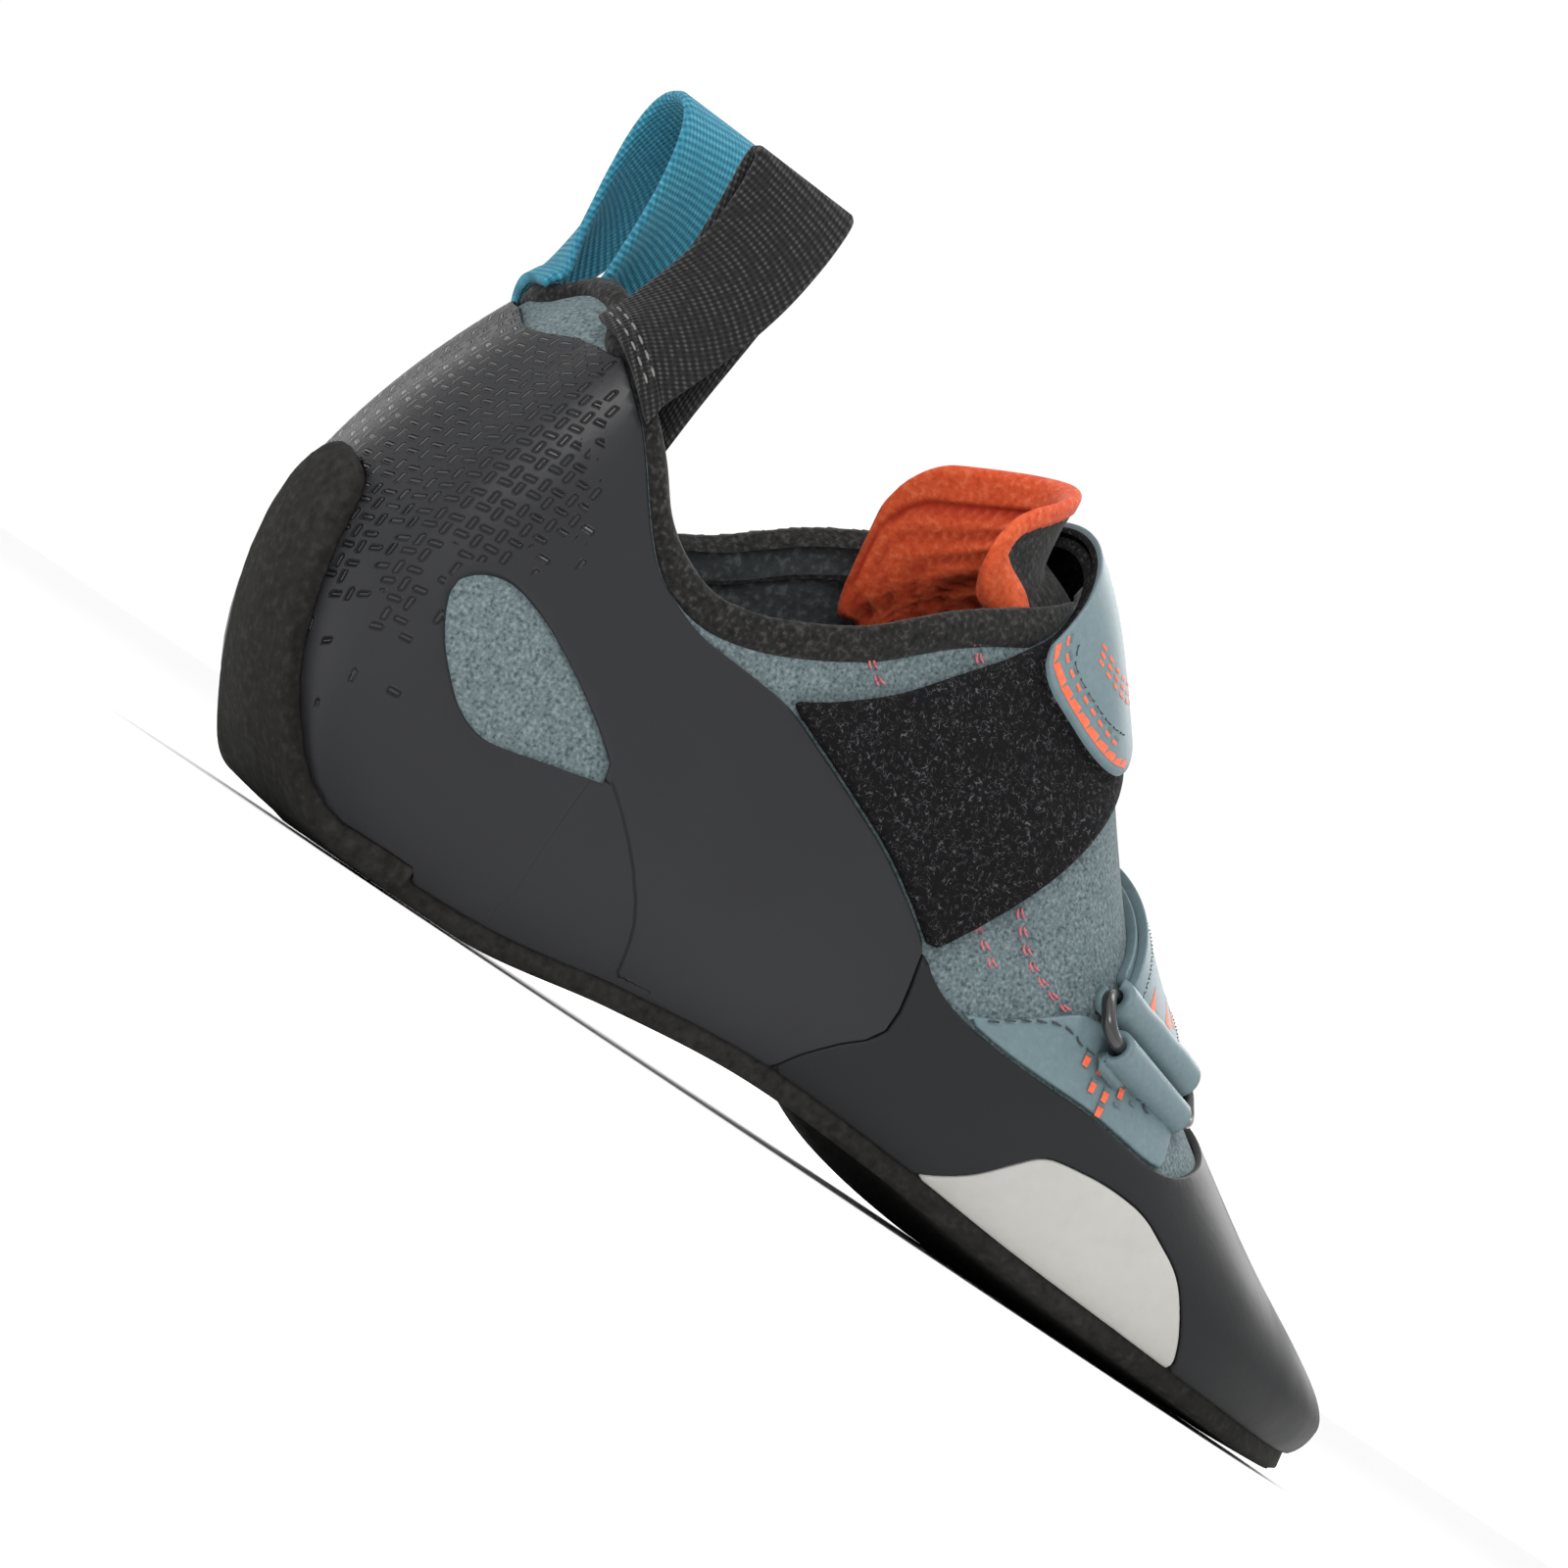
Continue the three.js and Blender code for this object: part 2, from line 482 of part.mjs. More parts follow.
// A round wire bent into a rounded rectangle: its strap bar lies on the middle of the two
// ends given, and it reaches towards a third point by its width.
function wireRing(ends, towards, width) {
  const from = new THREE.Vector3(...ends[0]);
  const to = new THREE.Vector3(...ends[1]);
  const long = to.clone().sub(from).normalize();
  const middle = from.clone().add(to).multiplyScalar(0.5);
  const wide = new THREE.Vector3(...towards).sub(middle);
  wide.addScaledVector(long, -wide.dot(long)).normalize();
  const half = from.distanceTo(to) / 2;
  const at = (a, b) => middle.clone().addScaledVector(long, a).addScaledVector(wide, b);
  const points = [];
  const turns = [[half, 0, 0], [half, width, 90], [-half, width, 180], [-half, 0, 270]];
  for (const [a, b, start] of turns) {
    const a0 = a - Math.sign(a) * RING_CORNER;
    const b0 = b + (b > 0 ? -RING_CORNER : RING_CORNER);
    for (const step of [-90, -60, -30, 0]) {
      const turn = ((start + step) * Math.PI) / 180;
      points.push(at(a0 + RING_CORNER * Math.cos(turn), b0 + RING_CORNER * Math.sin(turn)));
    }
    const along = Math.abs(a) === half && (start === 90 || start === 270);
    points.push(along ? at(0, b) : at(a, width / 2));
  }
  const path = new THREE.CatmullRomCurve3(points, true, "centripetal");
  return fromGeometry(new THREE.TubeGeometry(path, 36, WIRE / 2, 7, true));
}
function fromGeometry(geometry) {
  const g = geometry.index ? geometry.toNonIndexed() : geometry;
  const p = g.getAttribute("position");
  const triangles = [];
  for (let k = 0; k < p.count; k += 3)
    triangles.push([0, 1, 2].map((n) => [p.getX(k + n), p.getY(k + n), p.getZ(k + n)]));
  return solidFrom(triangles);
}

// A straight round bar between two points
function bar(from, to, radius) {
  const a = new THREE.Vector3(...from);
  const b = new THREE.Vector3(...to);
  const rod = new THREE.CylinderGeometry(radius, radius, a.distanceTo(b), 14, 1);
  const turn = new THREE.Quaternion().setFromUnitVectors(
    new THREE.Vector3(0, 1, 0),
    b.clone().sub(a).normalize(),
  );
  rod.applyQuaternion(turn);
  rod.translate((a.x + b.x) / 2, (a.y + b.y) / 2, (a.z + b.z) / 2);
  return fromGeometry(rod);
}

// Side point of the crown: y at which the skin reaches height z above x
function sidePoint([x, z], out, inner) {
  let near = middleY(x);
  let far = inner ? near + 0.65 * BALL : near - 0.65 * BALL;
  for (let k = 0; k < 40; k += 1) {
    const mid = (near + far) / 2;
    if (roof(x, mid, out) > z) near = mid;
    else far = mid;
  }
  return [x, near, z];
}

// Strap lines seen from the side, bottom to top
const INSTEP_REAR = sideView([
  [0.2828, 0.574], [0.306, 0.608], [0.3388, 0.67], [0.3712, 0.75], [0.4016, 0.822],
  [0.434, 0.915], [0.476, 1.12],
]);
const INSTEP_FRONT = sideView([
  [0.4448, 0.388], [0.4572, 0.435], [0.4792, 0.521], [0.5, 0.606], [0.526, 0.72], [0.556, 0.86],
  [0.588, 1.04],
]);
const FORE_REAR = sideView([
  [0.562, 0.443], [0.584, 0.53], [0.604, 0.61], [0.64, 0.77],
]);
const FORE_FRONT = sideView([
  [0.662, 0.396], [0.682, 0.465], [0.704, 0.54], [0.748, 0.7],
]);
const LAYER = [GAP, GAP + STRAP, 2 * GAP + STRAP, 2 * (GAP + STRAP)];
const ON_BAR = LAYER[1] + WIRE / 2 + 0.4;

// Each ring's strap bar as a side-view line, and where the folded strap wraps it
const INSTEP_BAR = sideView([[0.418, 0.715], [0.534, 0.61]]);
const FORE_BAR = sideView([[0.56, 0.486], [0.678, 0.438]]);
const barEnds = (line, inner) => line.map((p) => sidePoint(p, ON_BAR, inner));
const lerp = (a, b, t) => a.map((v, k) => v + (b[k] - v) * t);
const FOLD = WIRE / 2 + BAR_ROOM + STRAP;
const fold = (ends) => bar(lerp(...ends, 0.07), lerp(...ends, 0.93), FOLD);
const barRoom = (ends) => bar(lerp(...ends, -0.3), lerp(...ends, 1.3), WIRE / 2 + BAR_ROOM);
// Side-view area above the line through a bar's ends, raised by lift
function aboveBar(line, lift) {
  const [from, to] = [lerp(...line, -1), lerp(...line, 3)];
  return [[from[0], from[1] + lift], [to[0], to[1] + lift], [to[0], FAR], [from[0], FAR]];
}
// How far above the bar the under strap and the folded end stop
const INSTEP_END = FOLD + 4;
const INSTEP_FOLD_END = FOLD - 1;
const FORE_END = FOLD + 1.5;
const FORE_FOLD_END = FOLD - 1.2;

function instepZone(end) {
  const top = [...INSTEP_REAR, ...[...INSTEP_FRONT].reverse()];
  const low = BAND_FRONT.filter(([x]) => x > INSTEP_REAR[0][0]);
  const above = moved(low, GAP, 2 * GAP).reverse();
  const inner = innerSide(top).intersect(innerSide(aboveBar(INSTEP_BAR, end)));
  return outerSide([...top, ...above]).add(inner);
}
function makeInstepStrap() {
  return shell(LAYER[0], LAYER[1])
    .intersect(instepZone(INSTEP_END))
    .subtract(fold(barEnds(INSTEP_BAR, true)));
}
// The end that comes back over the ring and lies on the outer side, and its inner part
const INSTEP_FREE = sideView([
  [0.418, 0.845], [0.42, 0.815], [0.432, 0.79], [0.452, 0.77], [0.474, 0.75], [0.496, 0.74],
  [0.514, 0.745], [0.526, 0.775], [0.548, 0.86], [0.58, 1.04], [0.476, 1.12], [0.438, 0.93],
]);
const INSTEP_BACK = sideView([
  [0.418, 0.845], [0.418, 0.6], [0.512, 0.6], [0.526, 0.775], [0.548, 0.86], [0.58, 1.04],
  [0.476, 1.12], [0.438, 0.93],
]);
function makeInstepFlap() {
  const ends = barEnds(INSTEP_BAR, true);
  const back = innerSide(INSTEP_BACK).intersect(innerSide(aboveBar(INSTEP_BAR, INSTEP_FOLD_END)));
  return shell(LAYER[2], LAYER[3])
    .intersect(outerSide(INSTEP_FREE).add(back))
    .add(fold(ends))
    .subtract(barRoom(ends))
    .subtract(form(LAYER[0]))
    .subtract(shell(0, LAYER[2]).intersect(instepZone(INSTEP_END - GAP)));
}
const INSTEP_TOWARDS = sideView([[0.46, 0.57]])[0];
function makeInstepRing() {
  const towards = sidePoint(INSTEP_TOWARDS, ON_BAR - 0.5, true);
  return wireRing(barEnds(INSTEP_BAR, true), towards, RING_WIDTH);
}

// Coated pieces under the rings
const INSTEP_TAB = sideView([
  [0.368, 0.494], [0.416, 0.43], [0.4412, 0.394], [0.496, 0.58], [0.488, 0.604], [0.448, 0.638],
  [0.414, 0.63],
]);
function makeInstepAnchor() {
  return skinOver(GAP, GAP + PANEL).intersect(innerSide(INSTEP_TAB));
}
const FORE_TAB = sideView([
  [0.664, 0.315], [0.666, 0.38], [0.632, 0.408], [0.604, 0.426], [0.58, 0.433], [0.5568, 0.43],
  [0.5376, 0.405], [0.51, 0.36], [0.4872, 0.334],
]);
function makeForeAnchor() {
  const end = FORE_TAB[FORE_TAB.length - 1];
  const low = TOE_TOP.filter(([x]) => x > end[0] - 0.014 * LENGTH && x < FORE_TAB[0][0]);
  return skinOver(GAP, GAP + PANEL).intersect(outerSide([...moved(low, 0, 2 * GAP), ...FORE_TAB]));
}

const FORE_INNER_REAR = sideView([[0.552, 0.325]]);
const FORE_INNER_FRONT = sideView([[0.6, 0.316], [0.66, 0.312]]);
function foreZone(end) {
  const top = [...FORE_REAR, ...[...FORE_FRONT].reverse()];
  const outer = outerSide(top).intersect(outerSide(aboveBar(FORE_BAR, end)));
  const low = [...FORE_INNER_FRONT].reverse();
  return outer.add(innerSide([...FORE_INNER_REAR, ...top, ...low]));
}
function makeForeStrap() {
  const edge = moved(TOE_TOP.slice(2), 0, 2 * GAP);
  const below = [[-FAR, edge[0][1]], ...edge, [edge[edge.length - 1][0], -FAR], [-FAR, -FAR]];
  return shell(LAYER[0], LAYER[1])
    .intersect(foreZone(FORE_END))
    .subtract(innerSide(below))
    .subtract(fold(barEnds(FORE_BAR, false)));
}
const FORE_BACK = sideView([
  [0.572, 0.44], [0.59, 0.53], [0.61, 0.61], [0.644, 0.77], [0.744, 0.7], [0.698, 0.535],
  [0.676, 0.46], [0.66, 0.4],
]);
const FORE_FREE = sideView([
  [0.608, 0.602], [0.644, 0.77], [0.744, 0.7], [0.706, 0.56], [0.688, 0.505], [0.656, 0.495],
  [0.624, 0.525], [0.61, 0.565],
]);
const OVER_TAB = sideView([
  [0.48, 0.3], [0.76, 0.3], [0.76, 0.4], [0.604, 0.435], [0.556, 0.44], [0.48, 0.38],
]);
function makeForeFlap() {
  const ends = barEnds(FORE_BAR, false);
  const outer = outerSide(FORE_BACK).intersect(outerSide(aboveBar(FORE_BAR, FORE_FOLD_END)));
  return shell(LAYER[2], LAYER[3])
    .intersect(outer.add(innerSide(FORE_FREE)))
    .add(fold(ends))
    .subtract(barRoom(ends))
    .subtract(form(LAYER[0]))
    .subtract(shell(0, LAYER[2]).intersect(foreZone(FORE_END - GAP)))
    .subtract(shell(0, GAP + PANEL + GAP).intersect(outerSide(OVER_TAB)));
}
const FORE_TOWARDS = sideView([[0.61, 0.385]])[0];
function makeForeRing() {
  const towards = sidePoint(FORE_TOWARDS, ON_BAR + 0.7, false);
  return wireRing(barEnds(FORE_BAR, false), towards, TOE_RING_WIDTH);
}

// A point of the collar edge at lap position u, on the skin moved out, dropped along the skin
function collarPoint(u, out, drop) {
  const height = (x) => {
    const k = Math.max(0, COLLAR.findIndex(([cx]) => cx > x) - 1);
    const [a, b] = [COLLAR[k], COLLAR[k + 1]];
    return a[1] + ((x - a[0]) / (b[0] - a[0])) * (b[1] - a[1]);
  };
  let low = 2;
  let high = 2.95;
  for (let k = 0; k < 30; k += 1) {
    const mid = (low + high) / 2;
    const [x, , z] = skin(u, mid, out);
    if (z < height(x) - drop) low = mid;
    else high = mid;
  }
  return skin(u, low, out);
}

// A thin sheet of even thickness about a grid of points
function sheet(points, thickness) {
  const rows = points.length;
  const across = points[0].length;
  const at = (i, k) =>
    new THREE.Vector3(...points[Math.min(Math.max(i, 0), rows - 1)][Math.min(Math.max(k, 0), across - 1)]);
  const grid = (shift) =>
    points.map((row, i) =>
      row.map((p, k) => {
        const along = at(i + 1, k).sub(at(i - 1, k));
        const over = at(i, k + 1).sub(at(i, k - 1));
        const face = along.cross(over).normalize();
        return [p[0] + face.x * shift, p[1] + face.y * shift, p[2] + face.z * shift];
      }),
    );
  return between(grid(thickness / 2), grid(-thickness / 2));
}

// A loop of webbing over the collar edge, one leg outside and one inside.
// ends are its two corners' lap positions; top gives x and y of the upper edge, back and
// front, and how much lower each is than LOOP_HEIGHT above the collar's back.
// arch lists the share of the way up, then the sideways bulge and lean in shares of
// LOOP_HEIGHT.
function webbingLoop(inner, top, arch) {
  const sign = inner ? 1 : -1;
  const shares = [0, 0.2, 0.4, 0.6, 0.8, 1];
  const crown = top.map(([x, y, drop]) => [
    LENGTH * x,
    BALL * y,
    COLLAR[1][1] + LOOP_HEIGHT * (1 - drop),
  ]);
  const point = ([t, bulge, lean], way, share) => {
    const u = LOOP_LAPS[0] + (LOOP_LAPS[1] - LOOP_LAPS[0]) * share;
    const lap = inner ? LAP - u : u;
    const out = way > 0 ? GAP + TRIM + 0.9 + WEBBING / 2 : -WALL - GAP - TRIM - 1.6 - WEBBING / 2;
    const foot = collarPoint(lap, out, LOOP_HEM);
    const rim = collarPoint(lap, out, -GAP - TRIM);
    if (t <= 0) return lerp(rim, foot, -t);
    const centre = collarPoint(lap, (GAP - WALL) / 2, -GAP - TRIM);
    const away = lerp(rim, centre, Math.min(t * 1.2, 1));
    const here = lerp(away, lerp(...crown, share), t);
    return [here[0], here[1] + sign * LOOP_HEIGHT * (bulge * way + lean), here[2]];
  };
  const leg = (way) => arch.map((row) => shares.map((share) => point(row, way, share)));
  const crest = [shares.map((share) => lerp(...crown, share))];
  return sheet([...leg(1), ...crest, ...leg(-1).reverse()], WEBBING);
}
const LOOP_LAPS = [1, 2.9];
const LOOP_HEM = 4;
const FLAT_ARCH = [[-1, 0, 0], [-0.5, 0, 0], [0, 0, 0], [0.2, 0.02, 0.04], [0.4, 0.036, 0.08],
  [0.6, 0.049, 0.09], [0.8, 0.055, 0.06], [0.93, 0.055, 0.02], [0.99, 0.036, 0]];
const OPEN_ARCH = [[-1, 0, 0], [-0.5, 0, 0], [0, 0, 0], [0.15, 0.091, 0], [0.3, 0.162, 0],
  [0.5, 0.233, 0], [0.68, 0.259, 0], [0.82, 0.239, 0], [0.92, 0.181, 0], [0.98, 0.097, 0]];
const OUTER_TOP = [[0.064, -0.268, 0.161], [0.143, -0.275, 0.177]];
const INNER_TOP = [[0.072, 0.112, 0.08], [0.165, 0.115, 0.09]];

const SUEDE = { color: 0x76898d, roughness: 0.95, metalness: 0 };
const RUBBER = { color: 0x36373a, roughness: 0.6, metalness: 0 };
const OUTSOLE = { color: 0x2b2a28, roughness: 0.85, metalness: 0 };
const OFF_WHITE = { color: 0xc9c8c3, roughness: 0.6, metalness: 0 };
const BLACK = { color: 0x151517, roughness: 0.95, metalness: 0 };
const COATED = { color: 0x7f989e, roughness: 0.55, metalness: 0 };
const ORANGE = { color: 0xe2572f, roughness: 0.9, metalness: 0 };
const TEAL = { color: 0x3a9ab5, roughness: 0.85, metalness: 0 };
const STEEL = { color: 0x1b1b1d, roughness: 0.35, metalness: 0.9 };
const BOARD = { color: 0x8b8f8f, roughness: 0.95, metalness: 0 };

const shoe = new THREE.Group();
shoe.name = "climbing_shoe";
shoe.position.x = -HEEL_REST;
function place(name, solid, finish) {
  const mesh = solid.getMesh();
  const geometry = new THREE.BufferGeometry();
  const places = new Float32Array((mesh.vertProperties.length / mesh.numProp) * 3);
  for (let k = 0; k < places.length / 3; k += 1)
    for (let n = 0; n < 3; n += 1) places[3 * k + n] = mesh.vertProperties[k * mesh.numProp + n];
  geometry.setAttribute("position", new THREE.BufferAttribute(places, 3));
  geometry.setIndex(new THREE.BufferAttribute(new Uint32Array(mesh.triVerts), 1));
  geometry.computeVertexNormals();
  const made = new THREE.Mesh(geometry, new THREE.MeshStandardMaterial(finish));
  made.name = name;
  shoe.add(made);
}

place("outsole", makeOutsole().simplify(FINE), OUTSOLE);
place("upper", makeUpper().simplify(FINE), SUEDE);
place("heel_rand", makeHeelRand(), RUBBER);
place("toe_rand", makeToeRand(), RUBBER);
place("ball_panel", makeBallPanel(), OFF_WHITE);
place("collar_trim", makeCollarTrim(), BLACK);
place("tongue", makeTongue(), ORANGE);
place("insole", largest(makeInsole()).simplify(FINE), BOARD);
place("instep_strap", makeInstepStrap(), BLACK);
place("instep_flap", makeInstepFlap(), COATED);
place("instep_ring", makeInstepRing(), STEEL);
place("instep_anchor", makeInstepAnchor(), COATED);
place("forefoot_anchor", makeForeAnchor(), COATED);
place("forefoot_strap", makeForeStrap(), COATED);
place("forefoot_flap", makeForeFlap(), COATED);
place("forefoot_ring", makeForeRing(), STEEL);
place("pull_loop_outer", webbingLoop(false, OUTER_TOP, FLAT_ARCH), BLACK);
place("pull_loop_inner", webbingLoop(true, INNER_TOP, OPEN_ARCH), TEAL);

export default shoe;
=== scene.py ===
# %% [markdown]
# A right-foot climbing shoe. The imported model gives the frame: every dressed piece below
# replaces one of its solids and sits in the same place. Lengths are in millimetres until a
# mesh is made, because a shoemaker's sizes are easiest to read that way.

# %% Load the frame
import math

import bmesh
import bpy
import numpy as np
from mathutils import Matrix, Vector


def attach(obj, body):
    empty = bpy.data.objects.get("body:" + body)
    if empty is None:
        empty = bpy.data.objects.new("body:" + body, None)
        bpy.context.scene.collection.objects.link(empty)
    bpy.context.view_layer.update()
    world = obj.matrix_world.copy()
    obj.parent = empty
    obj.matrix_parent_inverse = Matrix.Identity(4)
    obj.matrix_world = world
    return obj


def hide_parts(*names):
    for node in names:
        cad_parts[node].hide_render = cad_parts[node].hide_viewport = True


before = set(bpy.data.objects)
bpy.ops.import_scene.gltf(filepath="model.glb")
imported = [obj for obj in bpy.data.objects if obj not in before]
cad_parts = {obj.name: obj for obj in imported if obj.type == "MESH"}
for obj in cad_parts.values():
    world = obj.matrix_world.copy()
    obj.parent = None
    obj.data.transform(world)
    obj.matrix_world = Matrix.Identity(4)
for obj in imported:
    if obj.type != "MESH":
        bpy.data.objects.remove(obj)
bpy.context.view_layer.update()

# %% Driving sizes in millimetres
LENGTH = 250.0
BALL = 92.0
INSTEP = 100.0
HEEL_REST = 40.0
WALL = 2.0
RAND = 1.3
SOLE = 4.2
TRIM = 1.3
GAP = 0.3
EDGE = 3.0
STRAP = 2.0
PANEL = 1.2
WEBBING = 1.6
WIRE = 2.4
PAD = 3.4
INSOLE = 2.5
BAR_ROOM = 0.25
RING_CORNER = 2.6
LOOP_HEIGHT = 31.0
LAP = 28


def side_view(rows):
    """Side-view points given as shares of LENGTH and INSTEP, made into millimetres."""
    return [(LENGTH * x, INSTEP * z) for x, z in rows]


def spline(a, b, c, d, t):
    """A smooth curve from b at t 0 to c at t 1, with a and d as the points beside them."""
    bend = (2 * a - 5 * b + 4 * c - d) * t**2 + (3 * b - a - 3 * c + d) * t**3
    return 0.5 * (2 * b + (c - a) * t + bend)


print("length, ball and instep in mm:", LENGTH, BALL, INSTEP)

# %% [markdown]
# The last is the wooden foot that a shoe is built on. Each row is a station from heel to toe:
# a point on the spine, the widest point on each side, how far the side tucks in under the
# foot, the height share of the widest line and how square the top is on each side.

# %% The last as short tables
STATIONS = np.array([
    [0.232, 0.0, 0.009, 0.004, 0.009, 0.004, 0.27, 0.27, 0.26, 1.5, 1.5],
    [0.24, 0.0, 0.022, -0.13, 0.018, 0.148, 0.23, 0.24, 0.255, 1.56, 1.56],
    [0.252, 0.0, 0.048, -0.233, 0.038, 0.254, 0.14, 0.17, 0.24, 1.78, 1.76],
    [0.272, 0.0, 0.102, -0.298, 0.096, 0.308, 0.08, 0.135, 0.23, 2.02, 2.0],
    [0.308, 0.0, 0.192, -0.328, 0.19, 0.32, 0.054, 0.145, 0.22, 2.1, 2.05],
    [0.364, 0.005, 0.3, -0.35, 0.3, 0.318, 0.043, 0.155, 0.25, 2.05, 2.0],
    [0.428, 0.012, 0.404, -0.378, 0.404, 0.331, 0.043, 0.15, 0.27, 1.92, 1.95],
    [0.504, 0.024, 0.504, -0.422, 0.508, 0.375, 0.038, 0.13, 0.25, 1.82, 1.95],
    [0.584, 0.048, 0.592, -0.463, 0.608, 0.477, 0.033, 0.06, 0.23, 1.75, 2.0],
    [0.664, 0.074, 0.68, -0.474, 0.704, 0.556, 0.027, 0.033, 0.23, 1.7, 2.1],
    [0.744, 0.096, 0.776, -0.426, 0.8, 0.565, 0.027, 0.027, 0.27, 1.75, 2.25],
    [0.816, 0.12, 0.856, -0.325, 0.884, 0.51, 0.027, 0.027, 0.33, 1.82, 2.4],
    [0.876, 0.146, 0.92, -0.178, 0.937, 0.415, 0.027, 0.027, 0.38, 1.92, 2.45],
    [0.912, 0.17, 0.963, -0.002, 0.971, 0.302, 0.027, 0.027, 0.42, 2.05, 2.4],
    [0.934, 0.172, 0.985, 0.158, 0.985, 0.158, 0.027, 0.027, 0.44, 2.15, 2.2]
])
RIDGE = [
    (-0.04, 1.28), (0.08, 1.28), (0.16, 1.265), (0.24, 1.225), (0.32, 1.17), (0.38, 1.115),
    (0.44, 1.045), (0.48, 0.98), (0.52, 0.88), (0.56, 0.765), (0.6, 0.655), (0.68, 0.5),
    (0.752, 0.385), (0.82, 0.292), (0.888, 0.222), (0.94, 0.175), (0.98, 0.14), (1.008, 0.115)]
FLOOR_OUTER = [
    (-0.02, 0.16), (0.04, 0.09), (0.1, 0.054), (0.2, 0.048), (0.3, 0.084), (0.4, 0.108),
    (0.5, 0.1), (0.6, 0.08), (0.7, 0.068), (0.8, 0.058), (0.88, 0.052), (0.98, 0.06)]
FLOOR_INNER = [
    (-0.02, 0.16), (0.04, 0.1), (0.1, 0.082), (0.2, 0.098), (0.3, 0.16), (0.4, 0.195),
    (0.5, 0.165), (0.6, 0.095), (0.7, 0.056), (0.8, 0.046), (0.88, 0.044), (0.98, 0.054)]
FLOOR_MIDDLE = [
    (-0.02, 0.16), (0.04, 0.09), (0.1, 0.046), (0.2, 0.042), (0.3, 0.088), (0.4, 0.13),
    (0.5, 0.115), (0.6, 0.062), (0.68, 0.043), (0.8, 0.041), (0.88, 0.041), (0.98, 0.052)]


# %% Smooth curves through the tables
def through(rows, q):
    x, y = np.array(rows, float).T
    q = np.asarray(q, float)
    rate = np.diff(y) / np.diff(x)
    span = np.diff(x)
    slope = np.empty(len(x))
    slope[0], slope[-1] = rate[0], rate[-1]
    slope[1:-1] = (rate[:-1] * span[1:] + rate[1:] * span[:-1]) / (span[1:] + span[:-1])
    k = np.clip(np.searchsorted(x, q) - 1, 0, len(x) - 2)
    t = (q - x[k]) / span[k]
    s = t * t * (3 - 2 * t)
    lift = t * (1 - t) ** 2 * slope[k] - t * t * (1 - t) * slope[k + 1]
    inside = y[k] * (1 - s) + y[k + 1] * s + lift * span[k]
    low = y[0] + slope[0] * (q - x[0])
    high = y[-1] + slope[-1] * (q - x[-1])
    return np.where(q <= x[0], low, np.where(q >= x[-1], high, inside))


def height_at(rows, x):
    return INSTEP * through(rows, np.asarray(x) / LENGTH)


def column(outer, inner, u):
    around = np.concatenate([STATIONS[:, outer], STATIONS[-2:0:-1, inner]])
    k = np.floor(u).astype(int)
    t = u - k
    return spline(*(around[(k + n) % LAP] for n in (-1, 0, 1, 2)), t)


def section_at(u):
    u = np.asarray(u, float)
    spine = np.stack([LENGTH * column(0, 0, u), BALL * column(1, 1, u)], -1)
    side = np.stack([LENGTH * column(2, 4, u), BALL * column(3, 5, u)], -1)
    reach = np.linalg.norm(side - spine, axis=-1)
    aim = (side - spine) / reach[..., None]
    return spine, reach, aim, BALL * column(6, 7, u), column(8, 8, u), column(9, 10, u)


def skin(u, s, out):
    """Point of the last's skin: s 0 to 1 under the foot, to 2 up the side, to 3 over the top."""
    u, s, out = np.broadcast_arrays(*(np.asarray(v, float) for v in (u, s, out)))
    spine, reach, aim, tuck, swell, full = section_at(u)
    bottom = reach - tuck
    low = np.clip(s - 1, 0, 1) * np.pi / 2
    high = np.clip(s - 2, 0, 1) * np.pi / 2
    cosine = np.clip(np.cos(high), 0, 1)
    r = bottom * np.clip(s, 0, 1)
    r = np.where(s > 1, bottom + (tuck + out) * np.sin(low), r)
    r = np.where(s > 2, (reach + out) * cosine ** (2 / full), r)
    r = np.where(s >= 3, 0, r)
    x = spine[..., 0] + aim[..., 0] * r
    y = spine[..., 1] + aim[..., 1] * r
    middle = height_at(FLOOR_MIDDLE, x)
    side = np.where(aim[..., 1] < 0, height_at(FLOOR_OUTER, x), height_at(FLOOR_INNER, x))
    blend = np.minimum(r / bottom, 1) ** 2 * np.abs(aim[..., 1])
    floor = middle + (side - middle) * blend
    rise = height_at(RIDGE, x) - floor
    widest = floor + swell * rise
    z = floor - out
    z = np.where(s > 1, widest - (swell * rise + out) * np.cos(low), z)
    z = np.where(s > 2, widest + ((1 - swell) * rise + out) * np.sin(high) ** (2 / full), z)
    return np.stack([x, y, z], -1)


def middle_y(x):
    return BALL * through(STATIONS[:, :2], np.asarray(x) / LENGTH)


def normal_at(u, s, out):
    e = 0.004
    a = skin(u + e, s, out) - skin(u - e, s, out)
    b = skin(u, np.clip(s + e, 0, 2.995), out) - skin(u, np.clip(s - e, 0, 2.985), out)
    n = np.cross(a, b)
    n /= np.maximum(np.linalg.norm(n, axis=-1, keepdims=True), 1e-9)
    return -n


# %% [markdown]
# The camera stands where the photographer's did: behind the heel on the outer side, and turned
# about its own axis so that the toe points down and to the right. The photograph looks up at the
# sole from below. A shoe that stands on a floor can only be seen from the floor up, so the lens
# goes down to 14 mm above it. A very long lens keeps the shoe as flat as it looks in the picture.

# %% Camera
CAMERA_AZIMUTH = -29.6
CAMERA_ROLL = -33.9
CAMERA_HEIGHT = 14.0
CAMERA_DISTANCE = 1598.0
LENS_PIXELS = 10499.0
AIM = (101.9, 13.1, 47.7)


def to_world(p):
    return (np.asarray(p, float) - [HEEL_REST, 0, 0]) / 1000


